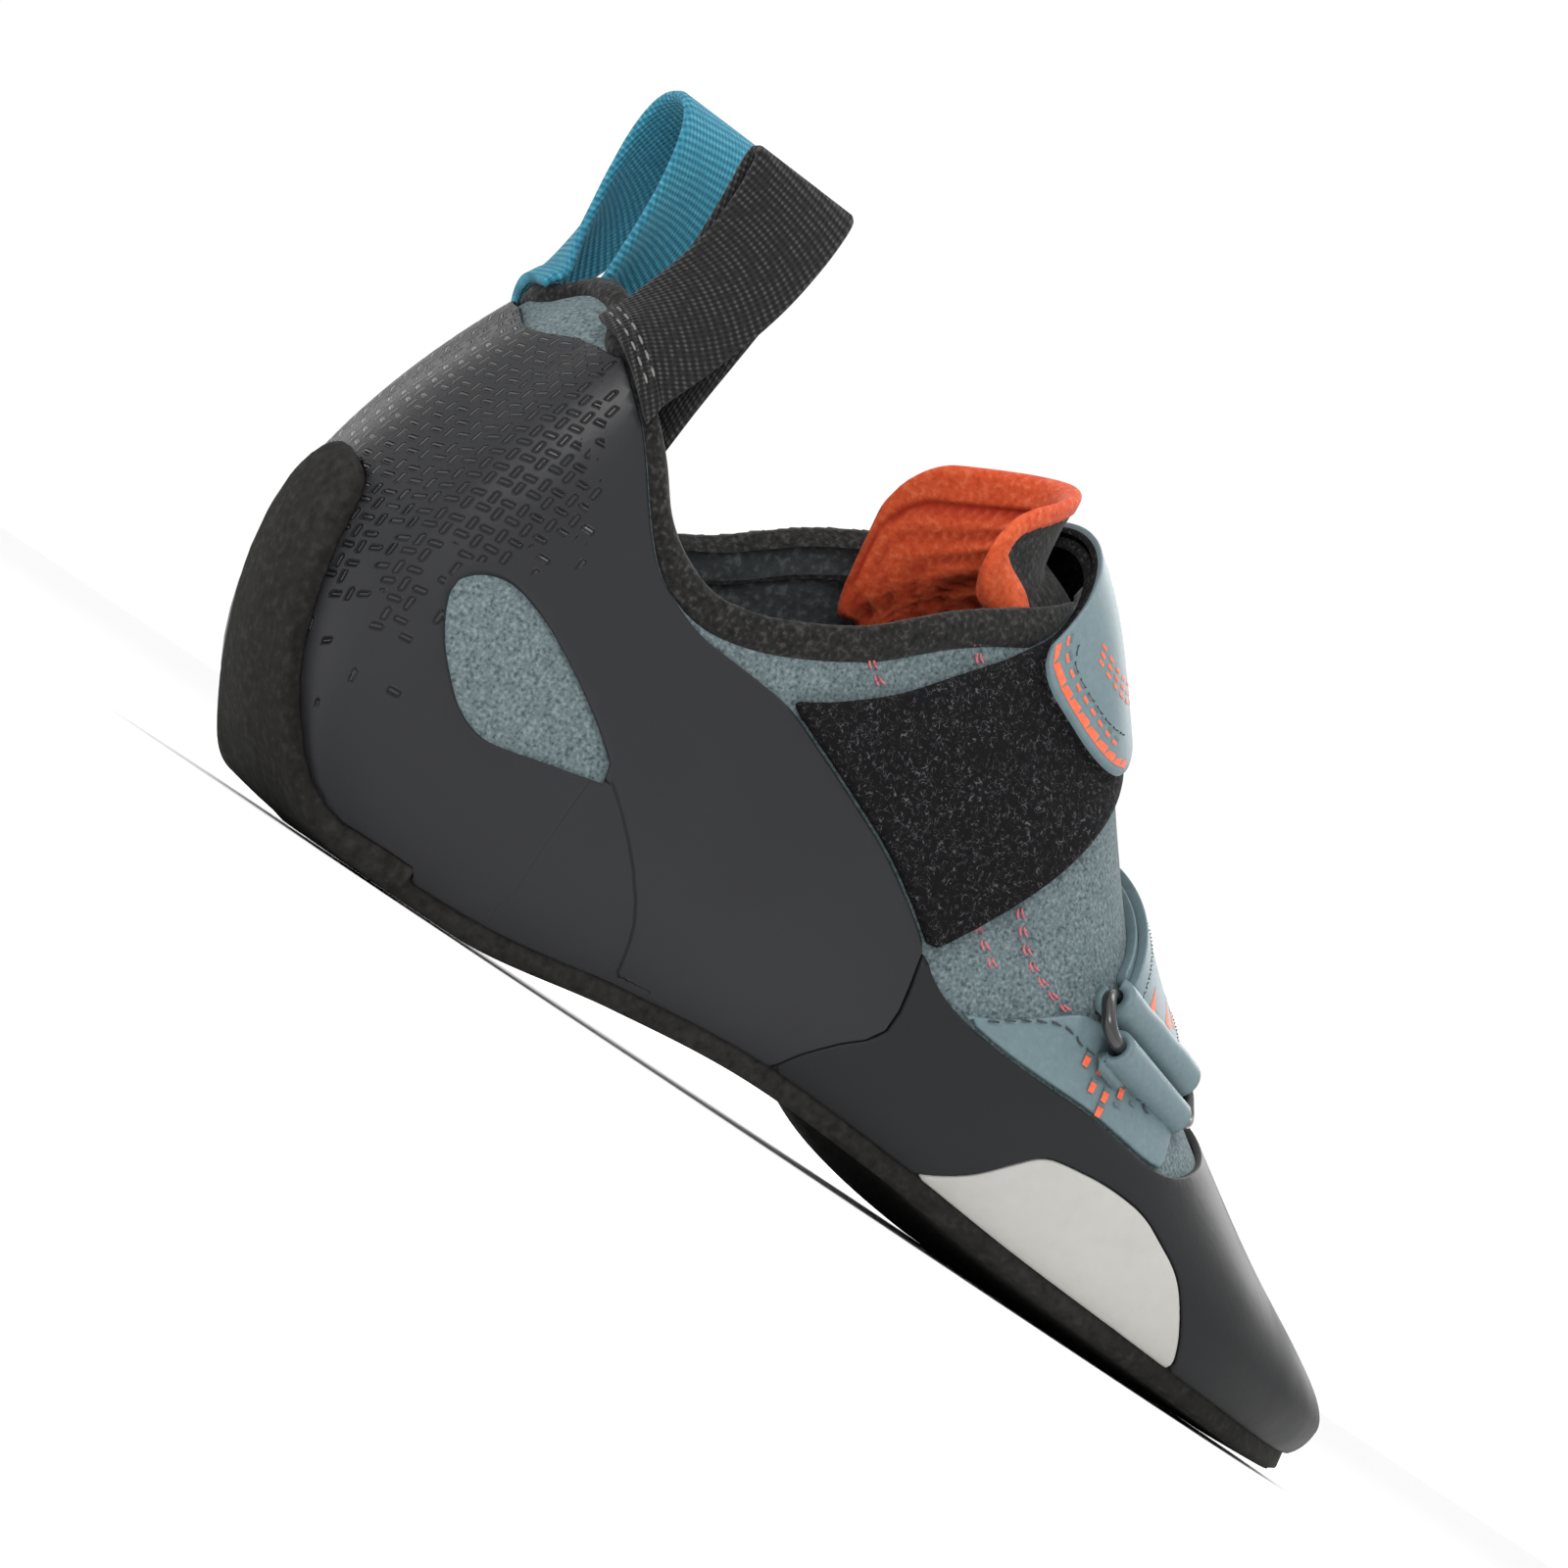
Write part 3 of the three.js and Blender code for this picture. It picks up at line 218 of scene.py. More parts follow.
def place_camera(elevation, aim):
    a, e, r = (math.radians(v) for v in (CAMERA_AZIMUTH, elevation, CAMERA_ROLL))
    back = Vector((math.sin(a) * math.cos(e), -math.cos(a) * math.cos(e), math.sin(e)))
    right = Vector((math.cos(a), math.sin(a), 0))
    up = back.cross(right)
    turned_right = right * math.cos(r) - up * math.sin(r)
    turned_up = right * math.sin(r) + up * math.cos(r)
    data = bpy.data.cameras.new("camera")
    data.sensor_width = 36
    data.lens = LENS_PIXELS / 1600 * 36
    data.clip_start, data.clip_end = 0.05, 60
    made = bpy.data.objects.new("camera", data)
    made.matrix_world = Matrix((turned_right, turned_up, back)).transposed().to_4x4()
    made.location = Vector(to_world(aim)) + back * CAMERA_DISTANCE / 1000
    bpy.context.collection.objects.link(made)
    bpy.context.scene.camera = made
    return made


elevation = math.degrees(math.asin((CAMERA_HEIGHT - AIM[2]) / CAMERA_DISTANCE))
camera = place_camera(elevation, AIM)
print("camera elevation in degrees:", round(elevation, 2))

# %% [markdown]
# The light is a white room with three large soft lamps: a key from behind the heel, one overhead
# and a faint rim from the far side. Colours are shown as they are measured, without a film
# curve, so that black rubber stays black and the paper-white ground stays white.

# %% Soft light
bpy.context.scene.view_settings.view_transform = "Standard"
world = bpy.data.worlds.new("studio")
bpy.context.scene.world = world
world.use_nodes = True
world.node_tree.nodes["Background"].inputs["Color"].default_value = (1, 1, 1, 1)
world.node_tree.nodes["Background"].inputs["Strength"].default_value = 1.03


def soft_light(name, place, size, power):
    data = bpy.data.lights.new(name, "AREA")
    data.shape, data.size, data.energy = "DISK", size, power
    lamp = bpy.data.objects.new(name, data)
    lamp.location = place
    towards = Vector((0.08, 0, 0.04)) - Vector(place)
    lamp.rotation_euler = towards.to_track_quat("-Z", "Y").to_euler()
    bpy.context.collection.objects.link(lamp)


soft_light("key", (-0.9, -0.9, 1.0), 0.6, 8)
soft_light("overhead", (0.4, 0.1, 1.6), 0.8, 8)
soft_light("far_rim", (1.1, 1.0, 0.7), 0.6, 5)

# %% Pale floor
bpy.ops.mesh.primitive_plane_add(size=40, location=(0, 0, -0.0004))
floor = bpy.context.object
floor.name = "floor"

# %% [markdown]
# A finish is a small network of nodes. Every one here is built the same way: a base colour that
# drifts a little over centimetres, a fine grain in millimetres that lifts the surface, with
# painted shade in its hollows and painted highlight on its tops, and a roughness that varies with
# the drift. The class below lets the network be written as sums and products, which is easier to
# read than a list of links.

# %% Arithmetic with shader nodes
class Num:
    """A number that varies over the surface; arithmetic on it makes Math nodes."""

    def __init__(self, tree, socket):
        self.tree, self.socket = tree, socket

    def math(self, operation, other=None, third=None):
        node = self.tree.nodes.new("ShaderNodeMath")
        node.operation = operation
        for slot, value in zip(node.inputs, (self, other, third)):
            if isinstance(value, Num):
                self.tree.links.new(value.socket, slot)
            elif value is not None:
                slot.default_value = value
        return Num(self.tree, node.outputs[0])

    def __add__(self, other):
        return self.math("ADD", other)

    def __sub__(self, other):
        return self.math("SUBTRACT", other)

    def __mul__(self, other):
        return self.math("MULTIPLY", other)

    def bigger(self, other):
        return self.math("MAXIMUM", other)

    def step(self, low, high):
        """0 below low, 1 above high and smooth in between."""
        node = self.tree.nodes.new("ShaderNodeMapRange")
        node.interpolation_type = "SMOOTHSTEP"
        node.inputs["From Min"].default_value = low
        node.inputs["From Max"].default_value = high
        self.tree.links.new(self.socket, node.inputs["Value"])
        return Num(self.tree, node.outputs["Result"])


# %% The common finish
class Finish:
    """One material: colour, grain and gloss, with extra layers added as they are needed."""

    def __init__(self, name, color, rough, shine=0.5, sheen=0.0, coat=0.0, metal=0.0):
        self.material = bpy.data.materials.new(name)
        self.material.use_nodes = True
        self.tree = self.material.node_tree
        self.shader = self.tree.nodes["Principled BSDF"]
        self.shader.inputs["Metallic"].default_value = metal
        self.shader.inputs["Specular IOR Level"].default_value = shine
        self.shader.inputs["Sheen Weight"].default_value = sheen
        self.shader.inputs["Coat Weight"].default_value = coat
        self.shader.inputs["Coat Roughness"].default_value = 0.2
        self.color, self.rough, self.height = tuple(color), rough, None

    def link(self, source, target):
        self.tree.links.new(source.socket if isinstance(source, Num) else source, target)

    def noise(self, size_mm, detail=3, distortion=0.0):
        """Cloudy noise whose blobs are about size_mm across."""
        place = self.tree.nodes.new("ShaderNodeTexCoord")
        node = self.tree.nodes.new("ShaderNodeTexNoise")
        node.inputs["Scale"].default_value = 1000 / size_mm / 2
        node.inputs["Detail"].default_value = detail
        node.inputs["Distortion"].default_value = distortion
        self.link(place.outputs["Object"], node.inputs["Vector"])
        return Num(self.tree, node.outputs["Fac"])

    def stored(self, name):
        """A number stored on the piece's points."""
        node = self.tree.nodes.new("ShaderNodeAttribute")
        node.attribute_name = name
        return Num(self.tree, node.outputs["Fac"])

    def tint(self, other, share):
        """Blend the colour towards another one by a share that varies over the surface."""
        node = self.tree.nodes.new("ShaderNodeMix")
        node.data_type = "RGBA"
        self.link(share, node.inputs["Factor"])
        if isinstance(self.color, tuple):
            node.inputs["A"].default_value = (*self.color, 1)
        else:
            self.link(self.color, node.inputs["A"])
        node.inputs["B"].default_value = (*other, 1)
        self.color = node.outputs["Result"]
        return self

    def grain_with_painted_light(self, size_mm, dark, light, strength=1.0, height_mm=0.1, distortion=0.0):
        """Fine specks with relief: painted shade in the hollows, painted highlight on the tops."""
        fine = self.noise(size_mm, 2, distortion)
        self.tint(dark, fine.step(0.5, 0.28) * strength)
        self.tint(light, fine.step(0.5, 0.72) * strength)
        return self.raised(fine * height_mm)

    def drift(self, size_mm, other, strength, low=0.45, high=0.75):
        return self.tint(other, self.noise(size_mm, 4).step(low, high) * strength)

    def raised(self, height):
        self.height = height if self.height is None else self.height + height
        return self

    def gloss(self, share, rough):
        """A place where the roughness changes."""
        node = self.tree.nodes.new("ShaderNodeMix")
        self.link(share, node.inputs["Factor"])
        if isinstance(self.rough, float):
            node.inputs["A"].default_value = self.rough
        else:
            self.link(self.rough, node.inputs["A"])
        node.inputs["B"].default_value = rough
        self.rough = node.outputs["Result"]
        return self

    def done(self):
        for value, name in ((self.color, "Base Color"), (self.rough, "Roughness")):
            if isinstance(value, tuple):
                self.shader.inputs[name].default_value = (*value, 1)
            elif isinstance(value, float):
                self.shader.inputs[name].default_value = value
            else:
                self.link(value, self.shader.inputs[name])
        if self.height is not None:
            relief = self.tree.nodes.new("ShaderNodeBump")
            relief.inputs["Strength"].default_value = 1
            relief.inputs["Distance"].default_value = 0.001
            self.link(self.height, relief.inputs["Height"])
            self.link(relief.outputs["Normal"], self.shader.inputs["Normal"])
        return self.material


# %% [markdown]
# Suede is speckled: the tops of its short fibres are painted lighter, a painted highlight, and the
# hollows between them darker, a painted shade. Smooth coated microfibre is the same colour, a
# little bluer, with hardly any grain.

# %% Suede, coated microfibre and lining
def make_suede():
    made = Finish("suede", (0.118, 0.156, 0.165), 0.95, 0.2, sheen=0.04)
    made.drift(30, (0.1, 0.145, 0.16), 0.7)
    made.grain_with_painted_light(0.3, (0.038, 0.056, 0.062), (0.21, 0.255, 0.262), 0.85, 0.14)
    return made.drift(0.8, (0.07, 0.095, 0.105), 0.3, 0.55, 0.72).done()


def make_coated():
    made = Finish("coated_microfibre", (0.132, 0.193, 0.21), 0.5, 0.3)
    made.drift(25, (0.112, 0.168, 0.186), 0.6)
    return made.grain_with_painted_light(0.5, (0.1, 0.15, 0.17), (0.165, 0.23, 0.25), 0.35, 0.02).done()


def make_lining():
    made = Finish("lining", (0.07, 0.08, 0.084), 0.95, 0.15, sheen=0.05)
    return made.grain_with_painted_light(0.6, (0.05, 0.06, 0.06), (0.16, 0.18, 0.18), 0.8, 0.2).done()


SUEDE, COATED, LINING = make_suede(), make_coated(), make_lining()

# %% [markdown]
# The rubbers differ in polish. The rand is smooth and slightly shiny. The outsole is matt and
# takes dust. The heel rubber carries small moulded dashes that lie in a basket pattern; they
# are worked out in the shader from two distances stored on the mesh, round and up the heel.

# %% Rubbers
DASH_PITCH = 2.5
DASH_HALF = 0.66
DASH_RADIUS = 0.45


def rubber(name, color, rough, shine=0.16):
    made = Finish(name, color, rough, shine)
    made.drift(18, tuple(v * 1.5 for v in color), 0.7, 0.45, 0.8)
    made.gloss(made.noise(9, 4).step(0.4, 0.7), rough + 0.12)
    return made.raised(made.noise(0.7, 3) * 0.03)


def dashes(made):
    """Distance in mm to the nearest dash's edge, negative inside, and 1 where it is kept."""
    round_heel, up_heel = made.stored("round_heel"), made.stored("up_heel")
    column, row = round_heel * (1 / DASH_PITCH), up_heel * (1 / DASH_PITCH)
    i, k = column.math("FLOOR"), row.math("FLOOR")
    shake = (i * 12.99 + k * 78.23).math("SINE") * 0.22
    across = (column - i - 0.5) * DASH_PITCH + shake
    along = (row - k - 0.5) * DASH_PITCH - shake
    turned = (i + k).math("FLOORED_MODULO", 2.0)
    straight = turned * -1 + 1
    long_way = across * turned + along * straight
    short_way = across * straight + along * turned
    past_end = (long_way.math("ABSOLUTE") - DASH_HALF).bigger(0.0)
    distance = (past_end * past_end + short_way * short_way).math("SQRT") - DASH_RADIUS
    chance = made.tree.nodes.new("ShaderNodeTexWhiteNoise")
    chance.noise_dimensions = "2D"
    cell = made.tree.nodes.new("ShaderNodeCombineXYZ")
    made.link(i, cell.inputs["X"])
    made.link(k, cell.inputs["Y"])
    made.link(cell.outputs["Vector"], chance.inputs["Vector"])
    kept = made.stored("dash_share") - Num(made.tree, chance.outputs["Value"])
    return distance, kept.step(0.0, 0.01)


def make_heel_rubber():
    made = rubber("heel_rubber", (0.0138, 0.0142, 0.016), 0.36, 0.3)
    distance, kept = dashes(made)
    inside = distance.step(0.08, -0.12) * kept
    rim = distance.step(0.32, 0.1) * distance.step(-0.12, 0.05) * kept
    core = distance.step(-0.12, -0.4) * kept
    # A dark ring round the edge of each kept dash is painted shade in its groove.
    made.tint((0.006, 0.006, 0.007), distance.step(0.3, 0.0) * distance.step(-0.3, -0.05) * kept)
    made.gloss(inside, 0.08)
    # The lighter core of each kept dash is a painted highlight.
    made.tint((0.045, 0.045, 0.048), core * 0.6)
    made.raised(inside * -0.5)
    made.raised(rim * 0.12)
    edge = made.stored("lap_line")
    # The dark line painted along the lap line is painted shade at the step.
    made.tint((0.004, 0.004, 0.0045), edge.math("ABSOLUTE").step(0.42, 0.12) * 0.9)
    made.raised(edge.step(-0.4, 0.4) * 0.3)
    return made.raised(core * 0.5).done()


def make_outsole_rubber():
    made = Finish("outsole_rubber", (0.0148, 0.0142, 0.013), 0.85, 0.14)
    made.drift(22, (0.023, 0.0222, 0.0205), 0.8, 0.42, 0.7)
    made.drift(1.6, (0.042, 0.0405, 0.038), 0.4, 0.6, 0.74)
    return made.grain_with_painted_light(0.7, (0.0085, 0.0082, 0.0076), (0.03, 0.029, 0.027), 0.7, 0.09).done()


def make_off_white():
    made = Finish("off_white_rubber", (0.44, 0.435, 0.408), 0.5, 0.25)
    made.drift(16, (0.385, 0.382, 0.365), 0.6)
    return made.grain_with_painted_light(1.2, (0.39, 0.385, 0.37), (0.47, 0.465, 0.445), 0.25, 0.02).done()


HEEL_RUBBER, OUTSOLE, OFF_WHITE = make_heel_rubber(), make_outsole_rubber(), make_off_white()
RUBBER = rubber("rand_rubber", (0.0155, 0.016, 0.0172), 0.48).done()

# %% [markdown]
# Black trims are never one black. The binding is a fine knit. Loop tape is a forest of tiny
# curled threads, so bright hooks of painted highlight lie all over a very dark ground. Webbing is
# woven in slanted ribs, which are drawn from distances stored along and across the tape; its dips
# are painted darker as painted shade and its rib tops lighter as painted highlight.

# %% Knit, loop pile, webbing and mesh
def make_binding():
    made = Finish("binding_knit", (0.0135, 0.0128, 0.0122), 0.95, 0.15, sheen=0.12)
    return made.grain_with_painted_light(0.45, (0.004, 0.004, 0.004), (0.045, 0.043, 0.042), 0.9, 0.25).done()


def make_pile():
    made = Finish("loop_pile", (0.0045, 0.0045, 0.005), 0.9, 0.15)
    curl, other = made.noise(0.8, 0, 1.8), made.noise(0.62, 0, 1.2)
    hook_highlight = (curl - 0.5).math("ABSOLUTE").step(0.035, 0.008)
    hook_highlight = hook_highlight.bigger((other - 0.47).math("ABSOLUTE").step(0.03, 0.008) * 0.8)
    lit = made.noise(0.45, 0).step(0.36, 0.58)
    # The bright hooks are painted highlights on the curled threads, kept where the lit patches
    # are.
    made.tint((0.085, 0.085, 0.092), hook_highlight * lit)
    made.raised(hook_highlight * 0.25)
    return made.raised(made.noise(1.3, 3) * 0.45).done()


def webbing(name, dark, color, light):
    made = Finish(name, color, 0.8, 0.25, sheen=0.08)
    along, across = made.stored("along"), made.stored("across")
    row = (along * (2 * math.pi / 1.15) + across * 0.9).math("SINE")
    thread = (across * (2 * math.pi / 0.72) - along * 2.2).math("SINE")
    weave = row * 0.6 + thread * 0.4
    # Painted shade darkens the weave's dips and painted highlight lightens its rib tops in
    # patches.
    made.tint(dark, weave.step(0.1, -0.7))
    made.tint(light, weave.step(0.15, 0.85) * made.noise(0.8, 2).step(0.35, 0.6))
    return made.raised(weave * 0.16).done()


def make_mesh_fabric():
    made = Finish("orange_mesh", (0.58, 0.078, 0.025), 0.85, 0.15, sheen=0.1)
    made.drift(12, (0.64, 0.12, 0.04), 0.7)
    made.grain_with_painted_light(0.5, (0.42, 0.042, 0.012), (0.7, 0.17, 0.075), 0.6, 0.14)
    # Darker where the tongue stores its recesses: painted shade between the bumps and in the sunk
    # channel.
    return made.tint((0.33, 0.022, 0.008), made.stored("hollow_shade")).done()


BINDING_KNIT, PILE, ORANGE = make_binding(), make_pile(), make_mesh_fabric()
BLACK_WEB = webbing("black_webbing", (0.003, 0.003, 0.003), (0.0125, 0.0125, 0.0125),
                    (0.06, 0.059, 0.057))
BLUE_WEB = webbing("blue_webbing", (0.018, 0.135, 0.205), (0.032, 0.225, 0.325),
                   (0.075, 0.34, 0.44))

# %% Small parts
WIRE_FINISH = Finish("black_wire", (0.01, 0.01, 0.0105), 0.24, 0.6, coat=0.4)
WIRE_FINISH.drift(5, (0.02, 0.02, 0.021), 0.6)
WIRE_BLACK = WIRE_FINISH.raised(WIRE_FINISH.noise(1.2) * 0.02).done()


def thread(name, dark, color):
    made = Finish(name, color, 0.7, 0.3, sheen=0.1)
    return made.grain_with_painted_light(0.3, dark, color, 0.9, 0.08).done()


RED_THREAD = thread("red_thread", (0.26, 0.055, 0.07), (0.52, 0.14, 0.165))
DARK_THREAD = thread("dark_thread", (0.012, 0.018, 0.02), (0.04, 0.052, 0.058))
GREY_THREAD = thread("grey_thread", (0.06, 0.058, 0.056), (0.2, 0.195, 0.19))
INK = Finish("orange_print", (0.8, 0.135, 0.06), 0.6, 0.3)
ORANGE_INK = INK.grain_with_painted_light(0.4, (0.62, 0.09, 0.04), (0.86, 0.2, 0.1), 0.6, 0.02).done()
GREY_INK = Finish("grey_print", (0.11, 0.15, 0.165), 0.6, 0.3)
GREY_PRINT = GREY_INK.grain_with_painted_light(0.4, (0.09, 0.12, 0.13), (0.14, 0.18, 0.2), 0.6, 0.02).done()
PAPER = Finish("floor", (0.93, 0.93, 0.93), 0.95, 0.1)
floor.data.materials.append(PAPER.drift(60, (0.9, 0.9, 0.9), 0.2).done())
print("finishes:", len(bpy.data.materials))

# %% [markdown]
# Most pieces of the shoe are panels cut from the last's skin. The skin is a fine grid; a panel's
# outline is a field that is zero on the edge and grows inwards in millimetres. Cutting the grid
# where the field crosses zero gives a clean edge, and the same field rounds that edge over.

# %% Grids on the last and cuts along a field
def grid_patch(u0, u1, s0, s1, cell=1.3):
    columns = max(int(round((u1 - u0) * 22 / cell)), 2)
    if (columns % 2) != (int(round((u1 - u0) * 2)) % 2):
        columns += 1
    levels = []
    for a, b, mm in ((0, 1, 40), (1, 2, 13), (2, 3, 68)):
        lo, hi = max(a, s0), min(b, s1)
        if hi > lo:
            n = max(int(round((hi - lo) * mm / cell)), 1)
            levels += list(lo + (hi - lo) * np.arange(n) / n)
    levels = np.array(levels + [s1])
    us = np.linspace(u0, u1, columns + 1)
    u, s = np.meshgrid(us, levels, indexing="ij")
    m = len(levels)
    i, k = np.meshgrid(np.arange(columns), np.arange(m - 1), indexing="ij")
    a = (i * m + k).ravel()
    faces = np.stack([a, a + m, a + m + 1, a + 1], 1)
    return u.ravel(), s.ravel(), faces.tolist()


def cut_levels(values, faces, column_of_field, levels):
    """Split faces along each level of one column, so that mesh edges follow the levels."""
    rows = [list(row) for row in values]
    for level in levels:
        crossing = {}

        def between(a, b):
            key = (a, b) if a < b else (b, a)
            if key not in crossing:
                fa, fb = rows[a][column_of_field] - level, rows[b][column_of_field] - level
                t = fa / (fa - fb)
                new = [va + (vb - va) * t for va, vb in zip(rows[a], rows[b])]
                new[column_of_field] = level
                crossing[key] = len(rows)
                rows.append(new)
            return crossing[key]

        made = []
        for face in faces:
            over = [rows[v][column_of_field] - level for v in face]
            if all(o >= 0 for o in over) or all(o <= 0 for o in over):
                made.append(face)
                continue
            parts = ([], [])
            for k, v in enumerate(face):
                w = face[(k + 1) % len(face)]
                a, b = over[k], over[(k + 1) % len(face)]
                if a >= 0:
                    parts[0].append(v)
                if a <= 0:
                    parts[1].append(v)
                if a * b < 0:
                    c = between(v, w)
                    parts[0].append(c)
                    parts[1].append(c)
            made += [part for part in parts if len(part) > 2]
        faces = made
    return np.array(rows), faces


STEEPEST = 0.09


def outline_distance(points, line):
    """Distance to a closed side-view outline, positive inside, and the way it grows."""
    line = np.array(line, float)
    nxt = np.roll(line, -1, 0)
    p = points[:, None, :]
    d = nxt - line
    t = np.clip(((p - line) * d).sum(-1) / np.maximum((d * d).sum(-1), 1e-9), 0, 1)
    near = line + t[..., None] * d
    gap = p - near
    dist = np.linalg.norm(gap, axis=-1)
    k = dist.argmin(1)
    best = np.take_along_axis(dist, k[:, None], 1)[:, 0]
    way = np.take_along_axis(gap, k[:, None, None], 1)[:, 0]
    y0, y1 = line[:, 1], nxt[:, 1]
    cross = (y0 > p[..., 1]) != (y1 > p[..., 1])
    with np.errstate(divide="ignore", invalid="ignore"):
        at = (nxt[:, 0] - line[:, 0]) * (p[..., 1] - y0) / (y1 - y0) + line[:, 0]
    inside = ((cross & (p[..., 0] < at)).sum(1) % 2) == 1
    return np.where(inside, best, -best), way


def on_surface(dist, way, normal):
    """A distance seen from the side made into millimetres along the sloping skin."""
    length = np.maximum(np.linalg.norm(way, axis=1), 1e-6)
    along = (way * normal).sum(1) / length
    return dist / np.sqrt(np.maximum(1 - along**2, STEEPEST))


def side_field(u, s, outer_line, inner_line):
    """Field of a side-view outline in surface millimetres, a line for each side of the foot."""
    p = skin(u, s, 0)
    n = normal_at(u, s, 0)
    value = np.full(len(u), -99.0)
    on_outer = p[:, 1] < middle_y(p[:, 0])
    for mask, line in ((on_outer, outer_line), (~on_outer, inner_line)):
        if line is None or not mask.any():
            continue
        dist, way = outline_distance(p[mask][:, [0, 2]], line)
        value[mask] = on_surface(dist, way, n[mask][:, [0, 2]])
    return value


# %% From a side view back to the skin
def on_side(line, inner=False):
    """Lap positions and levels of the skin points that have the given side-view x and z."""
    goal = np.array(line, float)
    u, s = np.meshgrid(np.arange(0, 14.01, 0.1), np.arange(1, 2.98, 0.02), indexing="ij")
    u, s = u.ravel(), s.ravel()

    def seen(a, b):
        return skin(LAP - a if inner else a, b, 0)[..., [0, 2]]

    table = seen(u, s)
    k = [((table - q) ** 2).sum(1).argmin() for q in goal]
    u, s, e = u[k], s[k], 1e-3
    for _ in range(6):
        here = seen(u, s)
        du, ds = (seen(u + e, s) - here) / e, (seen(u, s + e) - here) / e
        miss = goal - here
        det = du[:, 0] * ds[:, 1] - du[:, 1] * ds[:, 0]
        det = np.where(np.abs(det) < 1e-3, 1e-3, det)
        step_u = (miss[:, 0] * ds[:, 1] - miss[:, 1] * ds[:, 0]) / det
        step_s = (du[:, 0] * miss[:, 1] - du[:, 1] * miss[:, 0]) / det
        u = u + np.clip(step_u, -0.1, 0.1)
        s = np.clip(s + np.clip(step_s, -0.03, 0.03), 1, 2.985)
    return (LAP - u if inner else u), s


def line_distance(points, line):
    """Distance from side-view points to an open line."""
    a, b = np.array(line[:-1], float), np.array(line[1:], float)
    d = b - a
    p = points[:, None, :]
    t = np.clip(((p - a) * d).sum(-1) / (d * d).sum(-1), 0, 1)
    return np.linalg.norm(p - a - t[..., None] * d, axis=-1).min(1)


def smooth_line(rows, step=1.0):
    """The same open line with more points, rounded through its corners."""
    p = np.array(rows, float)
    ext = np.concatenate([[2 * p[0] - p[1]], p, [2 * p[-1] - p[-2]]])
    made = []
    for k in range(len(p) - 1):
        n = max(int(np.linalg.norm(ext[k + 2] - ext[k + 1]) / step), 1)
        made += [spline(*ext[k:k + 4], t) for t in np.arange(n) / n]
    return [tuple(v) for v in made] + [tuple(p[-1])]


def moved(line, dx, dz):
    return [(x + dx, z + dz) for x, z in line]


# %% [markdown]
# Points and faces become an object here. Blender can merge points that fall together and turn
# all faces outwards, which saves counting corners by hand. Every piece rides on the shoe's one
# body and says which solid it replaces.

# %% Meshes from points
def make_piece(name, points, faces, material, slot, replaces=(), fields=None, paint=None):
    mesh = bpy.data.meshes.new(name)
    mesh.from_pydata(to_world(points).tolist(), [], [list(map(int, f)) for f in faces])
    for m in material if isinstance(material, (list, tuple)) else [material]:
        mesh.materials.append(m)
    if paint is not None:
        mesh.polygons.foreach_set("material_index", np.asarray(paint, int))
    for key, data in (fields or {}).items():
        layer = mesh.attributes.new(key, "FLOAT", "POINT")
        layer.data.foreach_set("value", np.asarray(data, float))
    made = bpy.data.objects.new(name, mesh)
    bpy.context.collection.objects.link(made)
    work = bmesh.new()
    work.from_mesh(mesh)
    bmesh.ops.remove_doubles(work, verts=work.verts, dist=2e-6)
    bmesh.ops.recalc_face_normals(work, faces=work.faces)
    work.to_mesh(mesh)
    work.free()
    mesh.shade_smooth()
    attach(made, "root")
    if replaces:
        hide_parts(*replaces)
    print(name, "faces:", len(mesh.polygons))
    return made


def open_edges(faces, f):
    edges = {(a, b) for q in faces for a, b in zip(q, q[1:] + q[:1])}
    return [(a, b) for a, b in edges if (b, a) not in edges and f[a] < 1e-6 and f[b] < 1e-6]


def panel(name, grid, field, base, thick, material, slot, replaces=(), roll=0.45, reshape=None,
          below=None, puff=None, stored=None):
    """A sheet on the last, cut where its field is zero, with a rolled edge and a side wall."""
    u, s, faces = grid
    rows, faces = cut_levels(np.stack([u, s, field(u, s)], 1), faces, 2, [0, roll * 0.35, roll])
    faces = [q for q in faces if min(rows[v][2] for v in q) >= -1e-9]
    used = sorted({v for q in faces for v in q})
    index = {v: k for k, v in enumerate(used)}
    faces = [[index[v] for v in q] for q in faces]
    u, s, f = rows[used].T
    t = 1 - np.clip(f / roll, 0, 1)
    out = base + thick - roll * (1 - np.sqrt(np.maximum(1 - t * t, 0)))
    if puff is not None:
        out = puff(u, s, f, out)
    top = skin(u, s, out)
    rim = open_edges(faces, f)
    rim_verts = sorted({v for e in rim for v in e})
    low_of = {v: len(u) + k for k, v in enumerate(rim_verts)}
    low = skin(u[rim_verts], s[rim_verts], base - 0.2 if below is None else below)
    if reshape:
        top = reshape(u, s, top)
        low = reshape(u[rim_verts], s[rim_verts], low)
    walls = [[b, a, low_of[a], low_of[b]] for a, b in rim]
    fields = stored(u, s) if stored else {}
    fields = {key: np.concatenate([v, v[rim_verts]]) for key, v in fields.items()}
    return make_piece(name, np.concatenate([top, low]), faces + walls, material, slot, replaces,
                      fields)


# %% [markdown]
# The outlines are side views from heel to toe. The outer side's were read off the photograph;
# the hidden inner side gets the same lines without the window and the light panel.

